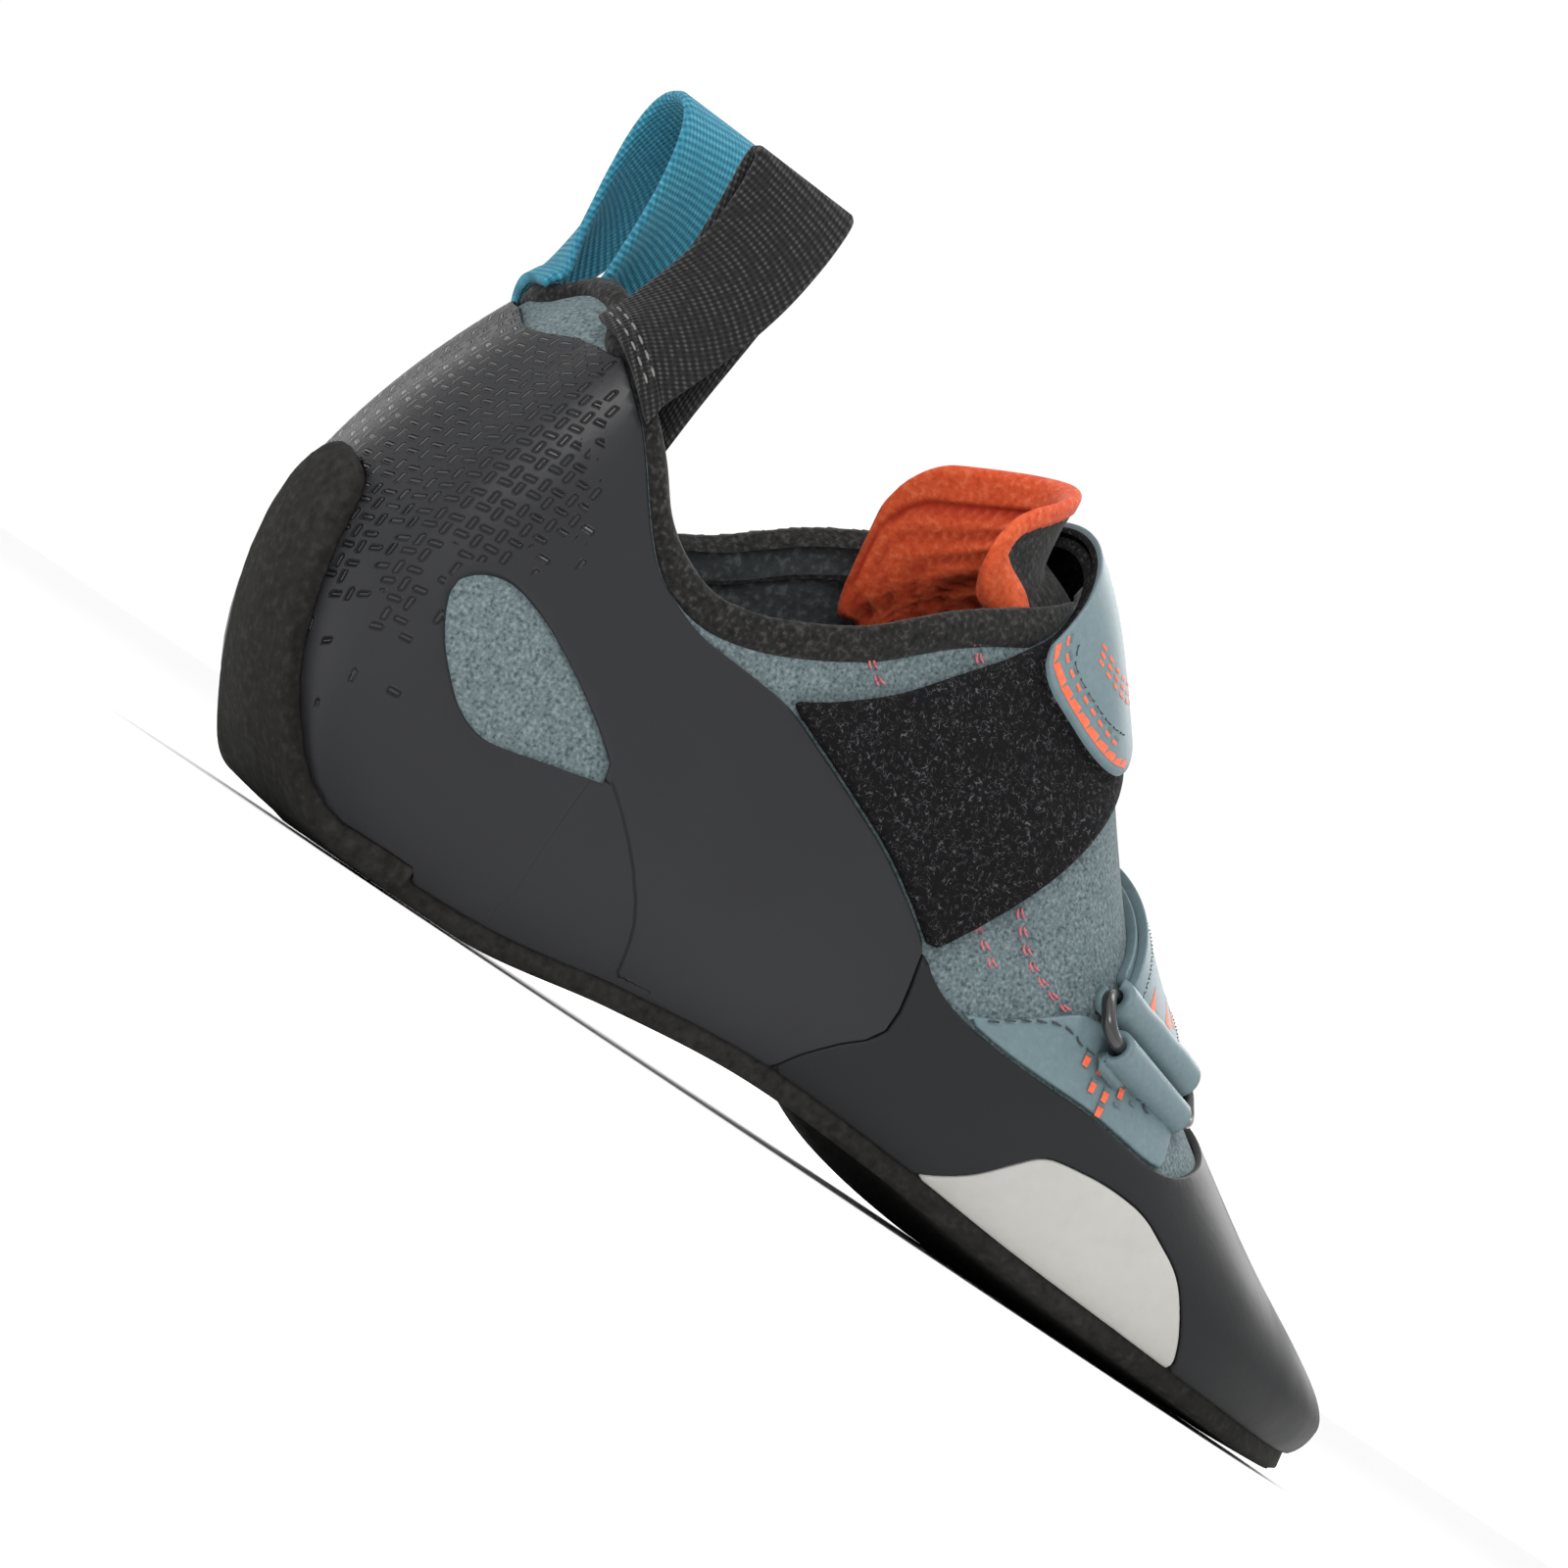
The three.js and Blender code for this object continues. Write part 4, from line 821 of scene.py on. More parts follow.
# %% Outlines of the upper and the rubber
COLLAR = side_view([
    (-0.02, 0.99), (0.048, 0.96), (0.07, 0.935), (0.092, 0.87), (0.13, 0.763), (0.152, 0.694),
    (0.177, 0.654), (0.204, 0.637), (0.236, 0.652), (0.268, 0.686), (0.3, 0.73), (0.324, 0.777),
    (0.35, 0.826), (0.38, 0.87), (0.404, 0.9)])
THROAT = [(0.32, 0.1685), (0.384, 0.1685), (0.416, 0.1522), (0.46, 0.125), (0.54, 0.1033),
          (0.64, 0.0924), (0.688, 0.0652), (0.708, 0.0054), (0.724, -0.05)]
BAND_FRONT = side_view([
    (0.084, 0.865), (0.094, 0.83), (0.112, 0.775), (0.132, 0.705), (0.148, 0.655),
    (0.164, 0.618), (0.184, 0.594), (0.208, 0.576), (0.232, 0.572), (0.256, 0.569),
    (0.282, 0.562), (0.316, 0.533), (0.352, 0.499), (0.384, 0.466), (0.416, 0.421), (0.44, 0.38)])
TOE_TOP = side_view([
    (0.44, 0.38), (0.454, 0.352), (0.472, 0.332), (0.496, 0.32), (0.524, 0.313), (0.552, 0.311),
    (0.588, 0.31), (0.62, 0.302), (0.648, 0.295), (0.672, 0.3), (0.696, 0.32), (0.728, 0.36),
    (0.768, 0.44), (0.8, 0.6)])
SEAM = side_view([
    (0.44, 0.377), (0.4496, 0.252), (0.4304, 0.194), (0.412, 0.133), (0.402, 0.04),
    (0.402, -0.2)])
BALL_PANEL = side_view([
    (0.52, 0.096), (0.5348, 0.118), (0.5496, 0.147), (0.564, 0.187), (0.5788, 0.22),
    (0.604, 0.232), (0.63, 0.236), (0.658, 0.23), (0.68, 0.21), (0.702, 0.184), (0.72, 0.145),
    (0.734, 0.11), (0.746, 0.075)])
WINDOW = side_view([
    (0.0652, 0.456), (0.076, 0.475), (0.0888, 0.482), (0.106, 0.474), (0.124, 0.458),
    (0.1468, 0.431), (0.168, 0.402), (0.1884, 0.37), (0.2108, 0.323), (0.196, 0.307),
    (0.17, 0.292), (0.144, 0.276), (0.1252, 0.269), (0.1084, 0.28), (0.094, 0.304),
    (0.0764, 0.351), (0.0656, 0.398), (0.062, 0.433)])
collar_line = smooth_line(COLLAR)
band_line = smooth_line(BAND_FRONT)
toe_line = smooth_line(TOE_TOP)
window_line = smooth_line(WINDOW + WINDOW[:1])[:-1]
panel_line = smooth_line(BALL_PANEL)
seam_line = smooth_line(SEAM[:-1]) + [SEAM[-1]]
FAR = 320.0
HEEL_TAB = 5.0
HEEL_TAB_HALF = 1.05
THROAT_REAR, THROAT_FRONT, THROAT_LOW = 45, 0.724 * LENGTH, 0.4 * INSTEP
print("points on the collar line:", len(collar_line))


def throat_field(u, s):
    p = skin(u, s, 0)
    half = BALL * np.interp(p[:, 0] / LENGTH, *np.array(THROAT).T)
    value = np.abs(p[:, 1] - middle_y(p[:, 0])) - half
    open_above = (s > 2) & (p[:, 0] > THROAT_REAR) & (p[:, 2] > THROAT_LOW)
    return np.where(open_above & (p[:, 0] < THROAT_FRONT), value, 99)


def below_collar(u, s, lift=0.0):
    """Millimetres below the collar line, which may be raised."""
    end = COLLAR[-1]
    line = [(-60, COLLAR[0][1])] + collar_line + [(end[0] + 11, end[1] + 6), (end[0] + 24, FAR)]
    line = [(-60, -60), *moved(line, 0, lift), (FAR, FAR), (FAR, -60)]
    lap = np.minimum(u % LAP, LAP - u % LAP)
    return side_field(u, s, line, line) + HEEL_TAB * np.exp(-((lap / HEEL_TAB_HALF) ** 4))


# %% [markdown]
# The upper is one wall of suede-like microfibre: an outer face, a lining face two millimetres
# inside it, and the edge between them at the collar and the throat. Where the foot bends, a few
# shallow creases are pressed into both faces, each a trough with a softer ridge beside it.

# %% Upper
CREASES = [
    (side_view([(0.41, 0.6), (0.455, 0.545), (0.49, 0.47)]), 0.5, 2.6),
    (side_view([(0.5, 0.52), (0.535, 0.46), (0.55, 0.41)]), 0.55, 2.4),
    (side_view([(0.47, 0.5), (0.5, 0.44), (0.515, 0.39)]), 0.4, 2.2),
    (side_view([(0.31, 0.72), (0.345, 0.73), (0.37, 0.77)]), 0.4, 2.5),
    (side_view([(0.68, 0.4), (0.715, 0.385), (0.745, 0.35)]), 0.45, 3.0),
    (side_view([(0.12, 0.44), (0.15, 0.37), (0.17, 0.33)]), 0.3, 3.0)]


def crease_depth(u, s):
    p = skin(u, s, 0)[:, [0, 2]]
    depth = np.zeros(len(p))
    for line, deep, wide in CREASES:
        d = line_distance(p, smooth_line(line)) / wide
        depth += deep * (np.exp(-d**2) - 0.35 * np.exp(-((d - 1.8) ** 2)))
    return depth


def upper_field(u, s):
    return np.minimum(below_collar(u, s), throat_field(u, s))


def make_upper():
    u, s, faces = grid_patch(0, LAP, 0.8, 3, 1.5)
    rows, faces = cut_levels(np.stack([u, s, upper_field(u, s)], 1), faces, 2, [0])
    faces = [q for q in faces if min(rows[v][2] for v in q) >= -1e-9]
    u, s, f = rows.T
    dip = crease_depth(u, s)
    outside, lining = skin(u, s, -dip), skin(u, s, -WALL - dip)
    rim = open_edges(faces, f)
    n = len(rows)
    walls = [[b, a, a + n, b + n] for a, b in rim]
    inside = [[v + n for v in reversed(q)] for q in faces]
    paint = [0] * len(faces) + [1] * (len(inside) + len(walls))
    return make_piece("upper_shell", np.concatenate([outside, lining]), faces + inside + walls,
                      [SUEDE, LINING], "suede", ["upper"], paint=paint)


make_upper()

# %% [markdown]
# The outsole is one sheet of soft rubber. Its strip climbs the back of the heel and flows into
# the side line in one curve. The bottom is pressed flat where the shoe stands, and the side is
# trimmed a little outside the upper.

# %% Outsole
STRIP_HALF = [(1.5, 50.6), (5, 48.8), (7.4, 44.5), (8.8, 37), (9.6, 29), (10.2, 21), (12, 15),
              (14.8, 9.6), (19, 6.2), (23, 5.0), (46, 4.6)]
STRIP_START, STRIP_END = 22, 36
UNDER_FROM = 30
FILLET = 3.0
feather_u = np.linspace(3, 14, 60)
feather = {False: skin(feather_u, 1, 0)[:, [0, 2]], True: skin(LAP - feather_u, 1, 0)[:, [0, 2]]}


def below_feather(u, s):
    lines = []
    for inner in (False, True):
        line = [tuple(q) for q in feather[inner] + [0, 0.1]]
        start = (line[0][0] - 10, line[0][1])
        lines.append([start] + line + [(FAR, line[-1][1]), (FAR, -60), (start[0], -60)])
    return side_field(u, s, *lines)


def heel_strip(u, s):
    p, n = skin(u, s, 0), normal_at(u, s, 0)
    right = smooth_line(STRIP_HALF)
    left = [(-y, z) for y, z in right[::-1]]
    ring = right + [(60, 5.9), (60, -40), (-60, -40), (-60, 5.9)] + left
    dist, way = outline_distance(p[:, [1, 2]], ring)
    return np.where(p[:, 0] < STRIP_END, on_surface(dist, way, n[:, [1, 2]]), -99)


def sole_field(u, s):
    p = skin(u, s, 0)
    under = np.where((s < 1) & (p[:, 0] > UNDER_FROM), 99.0, -99.0)
    a, b = below_feather(u, s), heel_strip(u, s)
    fillet = FILLET * np.maximum(1 - np.abs(a - b) / (2 * FILLET), 0) ** 2 / 2
    fillet = np.where((p[:, 0] > STRIP_START) & (p[:, 0] < STRIP_END), fillet, 0)
    return np.maximum(np.maximum(a, b) + fillet, under)


def sole_shape(u, s, p):
    """Trim the side of the sole and press its bottom flat."""
    spine, reach, _, tuck, _, _ = section_at(u)
    way = p[:, :2] - spine
    r = np.linalg.norm(way, axis=1)
    loose = np.clip((44 - p[:, 0]) / 14, 0, 1)
    share = np.minimum(r, reach - tuck + EDGE + loose * 60) / np.maximum(r, 1e-6)
    q = p.copy()
    q[:, :2] = spine + way * share[:, None]
    q[:, 2] = np.maximum(q[:, 2], 0)
    return q


panel("outsole_rubber", grid_patch(0, LAP, 0, 3, 1.5), sole_field, GAP, SOLE, OUTSOLE,
      "outsole_rubber", ["outsole"], roll=0.9, reshape=sole_shape, below=0.05)

# %% [markdown]
# Rubber rands wrap the sides. They are stretched on and cemented, so they follow the last
# closely and end in a thin cut edge. The heel rubber is made of two sheets: the rear sheet
# overlaps the lower one along a line that runs from the window's tip down to the sole.

# %% Heel rubber, toe rubber and the light panel
HEEL_TOP = [(-30, 79.0), (11, 79.6), (15, 81.2), (18.5, 84.0)]
heel_front = band_line[2:-1] + moved(seam_line, -GAP / 2, 0)
heel_zone = HEEL_TOP + heel_front + [(-30, -20)]
toe_zone = moved(seam_line, GAP / 2, 0)[::-1] + toe_line[1:] + [(290, 60), (290, -20)]
panel_zone = panel_line + [(186.5, -20), (130, -20)]
LAPPED = smooth_line([
    (52.7, 32.3), (55.9, 30.1), (60.5, 26.5), (64.4, 22.9), (69, 17.3), (72, 10)])
LAP_STEP, LAP_FADE = 0.35, 5
DASH_LIMIT = [(14, 12), (19, 15), (26, 21), (35, 18), (46, 16.5), (50, 25), (58, 31), (66, 30),
              (74, 26), (88, 25)]
DASH_AMOUNT = [(14, 0.05), (20, 0.15), (30, 0.4), (42, 0.85), (52, 1.0), (84, 1.0), (86, 0.6)]


def heel_field(u, s):
    zone = side_field(u, s, heel_zone, heel_zone)
    window = side_field(u, s, window_line, None)
    return np.minimum(np.minimum(zone, -window), -sole_field(u, s) - 0.1)


def toe_field(u, s):
    zone = side_field(u, s, toe_zone, toe_zone)
    inset = side_field(u, s, panel_zone, None)
    return np.minimum(np.minimum(zone, -inset - 0.1), -sole_field(u, s) - 0.1)


def panel_field(u, s):
    return np.minimum(side_field(u, s, panel_zone, None) - 0.1, -sole_field(u, s) - 0.1)


def lap_line(u, s):
    """Signed distance to the lap line on the outer side, negative below it."""
    p = skin(u, s, 0)
    d = line_distance(p[:, [0, 2]], LAPPED)
    below = p[:, 2] < np.interp(p[:, 0], *np.array(LAPPED).T)
    side = (p[:, 1] < middle_y(p[:, 0])) & (p[:, 0] > 50)
    return np.where(side, np.where(below, -d, d), 9.0)


def lapped(u, s, f, out):
    """The upper sheet ends in a small step along the lap line."""
    d = lap_line(u, s)
    return out - LAP_STEP * np.where(d < 0, np.exp(-((d / LAP_FADE) ** 2)), 0) * np.clip(f, 0, 1)


def dash_places(u, s):
    """Distances round the heel and up it, and the share of dashes kept."""
    fine = np.linspace(-8, 8, 400)
    ring = skin(fine, 2, 0)
    walk = np.concatenate([[0], np.cumsum(np.linalg.norm(np.diff(ring, axis=0), axis=1))])
    p = skin(u, s, 0)
    levels = np.linspace(1, 2.95, 60)
    ray = np.stack([skin(u, np.full(len(u), q), 0) for q in levels])
    climb = np.concatenate([np.zeros((1, len(u))),
                            np.cumsum(np.linalg.norm(np.diff(ray, axis=0), axis=2), axis=0)])
    k = np.clip((s - 1) / 1.95 * 59, 0, 58.999)
    low = k.astype(int)
    at = np.arange(len(u))
    up = climb[low, at] * (1 - k + low) + climb[low + 1, at] * (k - low)
    inside = (np.interp(p[:, 2], *np.array(DASH_LIMIT, float).T) - p[:, 0]) / 7
    amount = np.interp(p[:, 2], *np.array(DASH_AMOUNT, float).T)
    return {"round_heel": np.interp(u, fine, walk) - walk[-1] / 2, "up_heel": up,
            "dash_share": np.clip(inside, 0, 1) * amount * 1.05, "lap_line": lap_line(u, s)}


panel("heel_rubber", grid_patch(-8, 8, 1, 2.95, 1.2), heel_field, 0, RAND, HEEL_RUBBER,
      "rand_rubber", ["heel_rand"], puff=lapped, stored=dash_places)
panel("toe_rubber", grid_patch(5, 23, 1, 3, 1.2), toe_field, 0, RAND, RUBBER,
      "rand_rubber", ["toe_rand"])
panel("ball_inlay", grid_patch(7, 12, 1, 2.6, 1.0), panel_field, 0, RAND - 0.05,
      OFF_WHITE, "panel_rubber", ["ball_panel"])

# %% [markdown]
# A soft knit binding is folded over the collar edge and sewn down. It is fuller in its middle
# than at its edges, and it is narrow at the back, where a strip of suede shows below it.

# %% Strap lines that the binding stops at
INSTEP_REAR = side_view([
    (0.2828, 0.574), (0.306, 0.608), (0.3388, 0.67), (0.3712, 0.75), (0.4016, 0.822),
    (0.434, 0.915), (0.476, 1.12)])
INSTEP_FRONT = side_view([
    (0.4448, 0.388), (0.4572, 0.435), (0.4792, 0.521), (0.5, 0.606), (0.526, 0.72),
    (0.556, 0.86), (0.588, 1.04)])
rear, front = smooth_line(INSTEP_REAR), smooth_line(INSTEP_FRONT)

# %% Collar binding
BINDING_WIDTH = [(0, 3.2), (20, 3.4), (30, 4.4), (50, 4.8), (88, 5.2), (120, 6.0)]


def binding_depth(u, s):
    """How far below the collar a point is, as a share of the binding's width."""
    width = np.interp(skin(u, s, 0)[:, 0], *np.array(BINDING_WIDTH, float).T)
    return below_collar(u, s) / width


def binding_field(u, s):
    width = np.interp(skin(u, s, 0)[:, 0], *np.array(BINDING_WIDTH, float).T)
    reach = (1 - binding_depth(u, s)) * width
    top = below_collar(u, s, 0.6)
    zone = moved(heel_zone, 0.1, 0.2)
    strap = [*moved(rear, -0.3, 0.3), (160, 112), (160, 50), (71, 50)]
    return np.minimum.reduce([reach, top, -side_field(u, s, zone, zone),
                              -side_field(u, s, strap, strap), throat_field(u, s) + 0.6])


def binding_puff(u, s, f, out):
    share = np.clip(binding_depth(u, s), 0, 1)
    return out + 0.55 * np.sin(np.pi * np.sqrt(share)) - 0.1


panel("collar_binding", grid_patch(-7, 7, 2, 3, 1.0), binding_field, 0, 1.4,
      BINDING_KNIT, "trim_fabric", ["collar_trim"], roll=1.3, below=-WALL - 1,
      puff=binding_puff)

# %% [markdown]
# The tongue and the straps' rings need the height of the last over a point of the floor. It is
# found by halving: first the lap position that looks at the point, then the turn over the top.

# %% Roof of the last over a point
def roof(x, y, out):
    x, y, out = np.broadcast_arrays(*(np.asarray(v, float) for v in (x, y, out)))
    outer = y < middle_y(x)
    low, high = np.full(x.shape, 2.0), np.full(x.shape, 13.0)

    def across(u):
        spine, _, aim, *_ = section_at(np.where(outer, u, LAP - u))
        return aim[..., 0] * (y - spine[..., 1]) - aim[..., 1] * (x - spine[..., 0])

    sign = np.sign(across(low))
    for _ in range(34):
        mid = (low + high) / 2
        same = np.sign(across(mid)) == sign
        low, high = np.where(same, mid, low), np.where(same, high, mid)
    u = np.where(outer, low, LAP - low)
    spine, reach, _, _, _, full = section_at(u)
    away = np.hypot(x - spine[..., 0], y - spine[..., 1])
    share = np.minimum(away / (reach + out), 1)
    turn = np.arccos(share ** (full / 2)) / (np.pi / 2)
    return skin(u, 2 + np.maximum(turn, 0.001), out)[..., 2]


# %% [markdown]
# The tongue is a padded strip under the throat that stands up above the collar. Its face towards
# the leg is a mesh with rows of small bumps between sunk channels. A thick soft rim is rolled
# over its top, and the face towards the toe has a black patch below the rim. It is modelled by
# moving the points of a fine grid, because no cloth simulation would keep the rows of bumps.

# %% Tongue
TONGUE = [
    (0.736, 0, 0.087, 0, 0), (0.692, 0, 0.1087, 0, 0), (0.648, 0, 0.1304, 0, 0),
    (0.608, 0, 0.1522, 0, 0), (0.568, 0, 0.1739, 0, 0), (0.528, 0, 0.2011, 0, 0),
    (0.496, 0, 0.2174, 0, 0), (0.472, 0, 0.2228, 0, 0), (0.444, 0, 0.208, 0.016, 0),
    (0.44, 0.99, 0.19, 0.034, 0), (0.438, 1.06, 0.188, 0.054, 0),
    (0.436, 1.115, 0.1957, 0.066, 0.97), (0.434, 1.16, 0.1902, 0.074, 1.05)]
UNDER_BINDING = 0.464


def tongue_point(row, share, under):
    x, half, lag = LENGTH * row[0], BALL * row[2], LENGTH * row[3]
    y = middle_y(x) + share * half
    back = x - lag * share**2

    def laid(at, across):
        beyond = at - UNDER_BINDING * LENGTH
        room = 0.9 + 0.03 * beyond if beyond > 0 else TRIM + 1.6
        return roof(at, across, -WALL - room - under)

    if not row[1]:
        return [back, y, laid(back, y)]
    level = INSTEP * row[4] - 0.6 * under
    side = level if row[4] else laid(x - lag, middle_y(x) + np.sign(share) * half)
    middle = INSTEP * row[1] - 0.55 * under
    return [back - 0.83 * under * (1 - 0.4 * share**2), y, middle + (side - middle) * share**2]


def resample(grid, rows, columns):
    """A finer grid through a coarse one, smooth both ways."""
    def along(g, n):
        m = len(g)
        ext = np.concatenate([[2 * g[0] - g[1]], g, [2 * g[-1] - g[-2]]])
        q = np.linspace(0, m - 1, n)
        k = np.minimum(q.astype(int), m - 2)
        return spline(*(ext[k + j] for j in range(4)), (q - k)[:, None, None])

    g = along(np.asarray(grid, float), rows)
    return along(g.transpose(1, 0, 2), columns).transpose(1, 0, 2)


def slab(top, bottom):
    """Points and faces of a closed slab between two matching grids."""
    n, m = top.shape[:2]
    points = np.concatenate([top.reshape(-1, 3), bottom.reshape(-1, 3)])
    off = n * m
    faces = []
    for i in range(n - 1):
        for k in range(m - 1):
            a = i * m + k
            faces.append([a, a + m, a + m + 1, a + 1])
            faces.append([off + a, off + a + 1, off + a + m + 1, off + a + m])
    ring = [k for k in range(m)] + [i * m + m - 1 for i in range(1, n)]
    ring += [(n - 1) * m + k for k in range(m - 2, -1, -1)] + [i * m for i in range(n - 2, 0, -1)]
    for a, b in zip(ring, ring[1:] + ring[:1]):
        faces.append([a, b, off + b, off + a])
    return points, faces


def walked(grid, axis):
    """Distance walked along one axis of a grid."""
    step = np.linalg.norm(np.diff(grid, axis=axis), axis=2)
    start = np.zeros((1, grid.shape[1])) if axis == 0 else np.zeros((grid.shape[0], 1))
    return np.concatenate([start, np.cumsum(step, axis=axis)], axis=axis)


shares = np.linspace(-1, 1, 9)
RIM = 4.6
TOP_ROUND = 9.0
LOWER = 4.5
BUMP_ROW = 3.7
outer_face = resample([[tongue_point(r, q, 0) for q in shares] for r in TONGUE], 260, 90)
inner_face = resample([[tongue_point(r, q, PAD) for q in shares] for r in TONGUE], 260, 90)
core = (outer_face + inner_face) / 2
half_pad = (outer_face - inner_face) / 2
along_tongue = walked(core, 0)
half_way = walked(core, 1)[-1]
from_side = np.minimum(half_way, half_way[-1] - half_way)
drop = LOWER + TOP_ROUND * (1 - np.sqrt(1 - np.clip(1 - from_side / TOP_ROUND, 0, 1) ** 2))
for k, full_length in enumerate(along_tongue[-1].copy()):
    at = along_tongue[:, k] * (1 - drop[k] / full_length)
    for grid in (core, half_pad):
        grid[:, k] = np.stack([np.interp(at, along_tongue[:, k], grid[:, k, m])
                               for m in range(3)], 1)
along_tongue = walked(core, 0)
across_tongue = walked(core, 1)
to_top = along_tongue[-1] - along_tongue
to_side = np.minimum(across_tongue, across_tongue[:, -1:] - across_tongue)
to_rim = -1.5 * np.log(np.exp(-to_top / 1.5) + np.exp(-to_side / 1.5))
to_rim = np.maximum(to_rim, 0)
crown = np.sqrt(np.maximum(1 - (1 - np.clip(to_rim / 2.0, 0, 1)) ** 2, 0.0))
on_rim = np.clip((RIM + 1.2 - to_rim) / 1.2, 0, 1) * (along_tongue > 60)
channel = np.clip(1 - np.abs(to_rim - RIM - 1.0) / 1.1, 0, 1) * (along_tongue > 60)
rows_wave = np.cos((to_rim - RIM) * 2 * np.pi / BUMP_ROW)
knobs = np.clip(np.cos(across_tongue * 2 * np.pi / 2.2), 0, 1) * np.clip(-rows_wave, 0, 1)
inner_lift = (0.5 * rows_wave + 0.6 * knobs) * (1 - on_rim) + 0.45 * on_rim - 0.6 * channel
face_way = half_pad / np.maximum(np.linalg.norm(half_pad, axis=2, keepdims=True), 1e-9)
inner_grid = core - half_pad * crown[..., None] - face_way * (inner_lift * crown)[..., None]
patch = (along_tongue > 60) * (to_rim > RIM - 1)
outer_lift = 0.25 * on_rim - 0.55 * patch
outer_grid = core + half_pad * crown[..., None] + face_way * (outer_lift * crown)[..., None]
tongue_points, tongue_faces = slab(outer_grid, inner_grid)
# Painted shade for the mesh: darker between the bumps and in the sunk channel by the rim.
hollow_shade = np.clip(0.1 - rows_wave * 0.55, 0, 0.7) * (1 - on_rim) * (1 - knobs) + 0.8 * channel
cells = (outer_grid.shape[0] - 1) * (outer_grid.shape[1] - 1)
tongue_paint = np.zeros(len(tongue_faces), int)
tongue_paint[0:2 * cells:2] = (to_rim[:-1, :-1] > RIM - 0.6).ravel()
tongue = make_piece("tongue_pad", tongue_points, tongue_faces, [ORANGE, BINDING_KNIT],
                    "tongue_mesh", ["tongue"], paint=tongue_paint,
                    fields={"hollow_shade": np.concatenate([np.zeros(hollow_shade.size), hollow_shade.ravel()])})


# %% [markdown]
# A thin board covers the floor of the shoe. Only its upper face can be seen, so it is a panel
# under the foot with the lining's finish.

# %% Insole
def insole_field(u, s):
    _, reach, _, tuck, *_ = section_at(u)
    return (reach - tuck) * (1 - s) - 3


panel("insole_board", grid_patch(0, LAP, 0, 1, 2.5), insole_field, -WALL - GAP - INSOLE,
      0, LINING, "insole_board", ["insole"], roll=0.3,
      puff=lambda u, s, f, out: np.full(len(u), -WALL - GAP - INSOLE))

# %% [markdown]
# The two straps work alike. A band crosses the throat to a wire ring, is folded round the ring's
# bar and comes back over itself as a flap. The instep strap runs from the outer side to a ring
# on the inner side, and the forefoot strap runs the other way. Flat straps are modelled
# directly, as sheets in two layers with a tube of the same thickness round each bar.

# %% Strap lines and bars
FORE_REAR = side_view([
    (0.562, 0.443), (0.584, 0.53), (0.604, 0.61), (0.64, 0.77)])
FORE_FRONT = side_view([
    (0.662, 0.396), (0.682, 0.465), (0.704, 0.54), (0.748, 0.7)])
INSTEP_BAR = side_view([
    (0.418, 0.715), (0.534, 0.61)])
FORE_BAR = side_view([
    (0.56, 0.486), (0.678, 0.438)])
INSTEP_FREE = side_view([
    (0.418, 0.845), (0.42, 0.815), (0.432, 0.79), (0.452, 0.77), (0.474, 0.75), (0.496, 0.74),
    (0.514, 0.745), (0.526, 0.775), (0.548, 0.86), (0.58, 1.04), (0.476, 1.12), (0.438, 0.93)])
INSTEP_BACK = side_view([
    (0.418, 0.845), (0.418, 0.6), (0.512, 0.6), (0.526, 0.775), (0.548, 0.86), (0.58, 1.04),
    (0.476, 1.12), (0.438, 0.93)])
FORE_BACK = side_view([
    (0.572, 0.44), (0.59, 0.53), (0.61, 0.61), (0.644, 0.77), (0.744, 0.7), (0.698, 0.535),
    (0.676, 0.46), (0.66, 0.4)])
FORE_FREE = side_view([
    (0.608, 0.602), (0.644, 0.77), (0.744, 0.7), (0.706, 0.56), (0.688, 0.505), (0.656, 0.495),
    (0.624, 0.525), (0.61, 0.565)])
INSTEP_TAB = side_view([
    (0.368, 0.494), (0.416, 0.43), (0.4412, 0.394), (0.496, 0.58), (0.488, 0.604),
    (0.448, 0.638), (0.414, 0.63)])
FORE_TAB = side_view([
    (0.664, 0.315), (0.666, 0.38), (0.632, 0.408), (0.604, 0.426), (0.58, 0.433), (0.5568, 0.43),
    (0.5376, 0.405), (0.51, 0.36), (0.4872, 0.334)])
LAYER = [GAP, GAP + STRAP, 2 * GAP + STRAP, 2 * (GAP + STRAP)]
ON_BAR = LAYER[1] + WIRE / 2 + 0.4
FOLD = WIRE / 2 + BAR_ROOM + STRAP
fore_rear, fore_front = smooth_line(FORE_REAR), smooth_line(FORE_FRONT)
ALL = [(-60, -60), (FAR, -60), (FAR, FAR), (-60, FAR)]


def side_point(x, z, out, inner):
    """The skin point above x at height z, found from the middle outwards."""
    near, reach = middle_y(x), 0.65 * BALL if inner else -0.65 * BALL
    far = near + reach
    for _ in range(40):
        mid = (near + far) / 2
        if roof(x, mid, out) > z:
            near = mid
        else:
            far = mid
    return np.array([x, float(near), z])


def above_bar(line, lift):
    (x0, z0), (x1, z1) = line
    from_x, from_z = x0 - (x1 - x0), z0 - (z1 - z0)
    to_x, to_z = x0 + 3 * (x1 - x0), z0 + 3 * (z1 - z0)
    return [(from_x, from_z + lift), (to_x, to_z + lift), (to_x, FAR), (from_x, FAR)]


def clipped(value, u, s, outer_line, inner_line):
    return np.minimum(value, side_field(u, s, outer_line, inner_line))


# %% Instep strap and its flap
band_low = [(x + GAP, z + 2 * GAP) for x, z in band_line if x > INSTEP_REAR[0][0]]
instep_inner = rear + front[::-1]
free_end = smooth_line(INSTEP_FREE[:9]) + INSTEP_FREE[9:]


def instep_field(u, s):
    band = side_field(u, s, rear + front[::-1] + band_low[::-1], instep_inner)
    return clipped(band, u, s, ALL, above_bar(INSTEP_BAR, FOLD + 1.5))


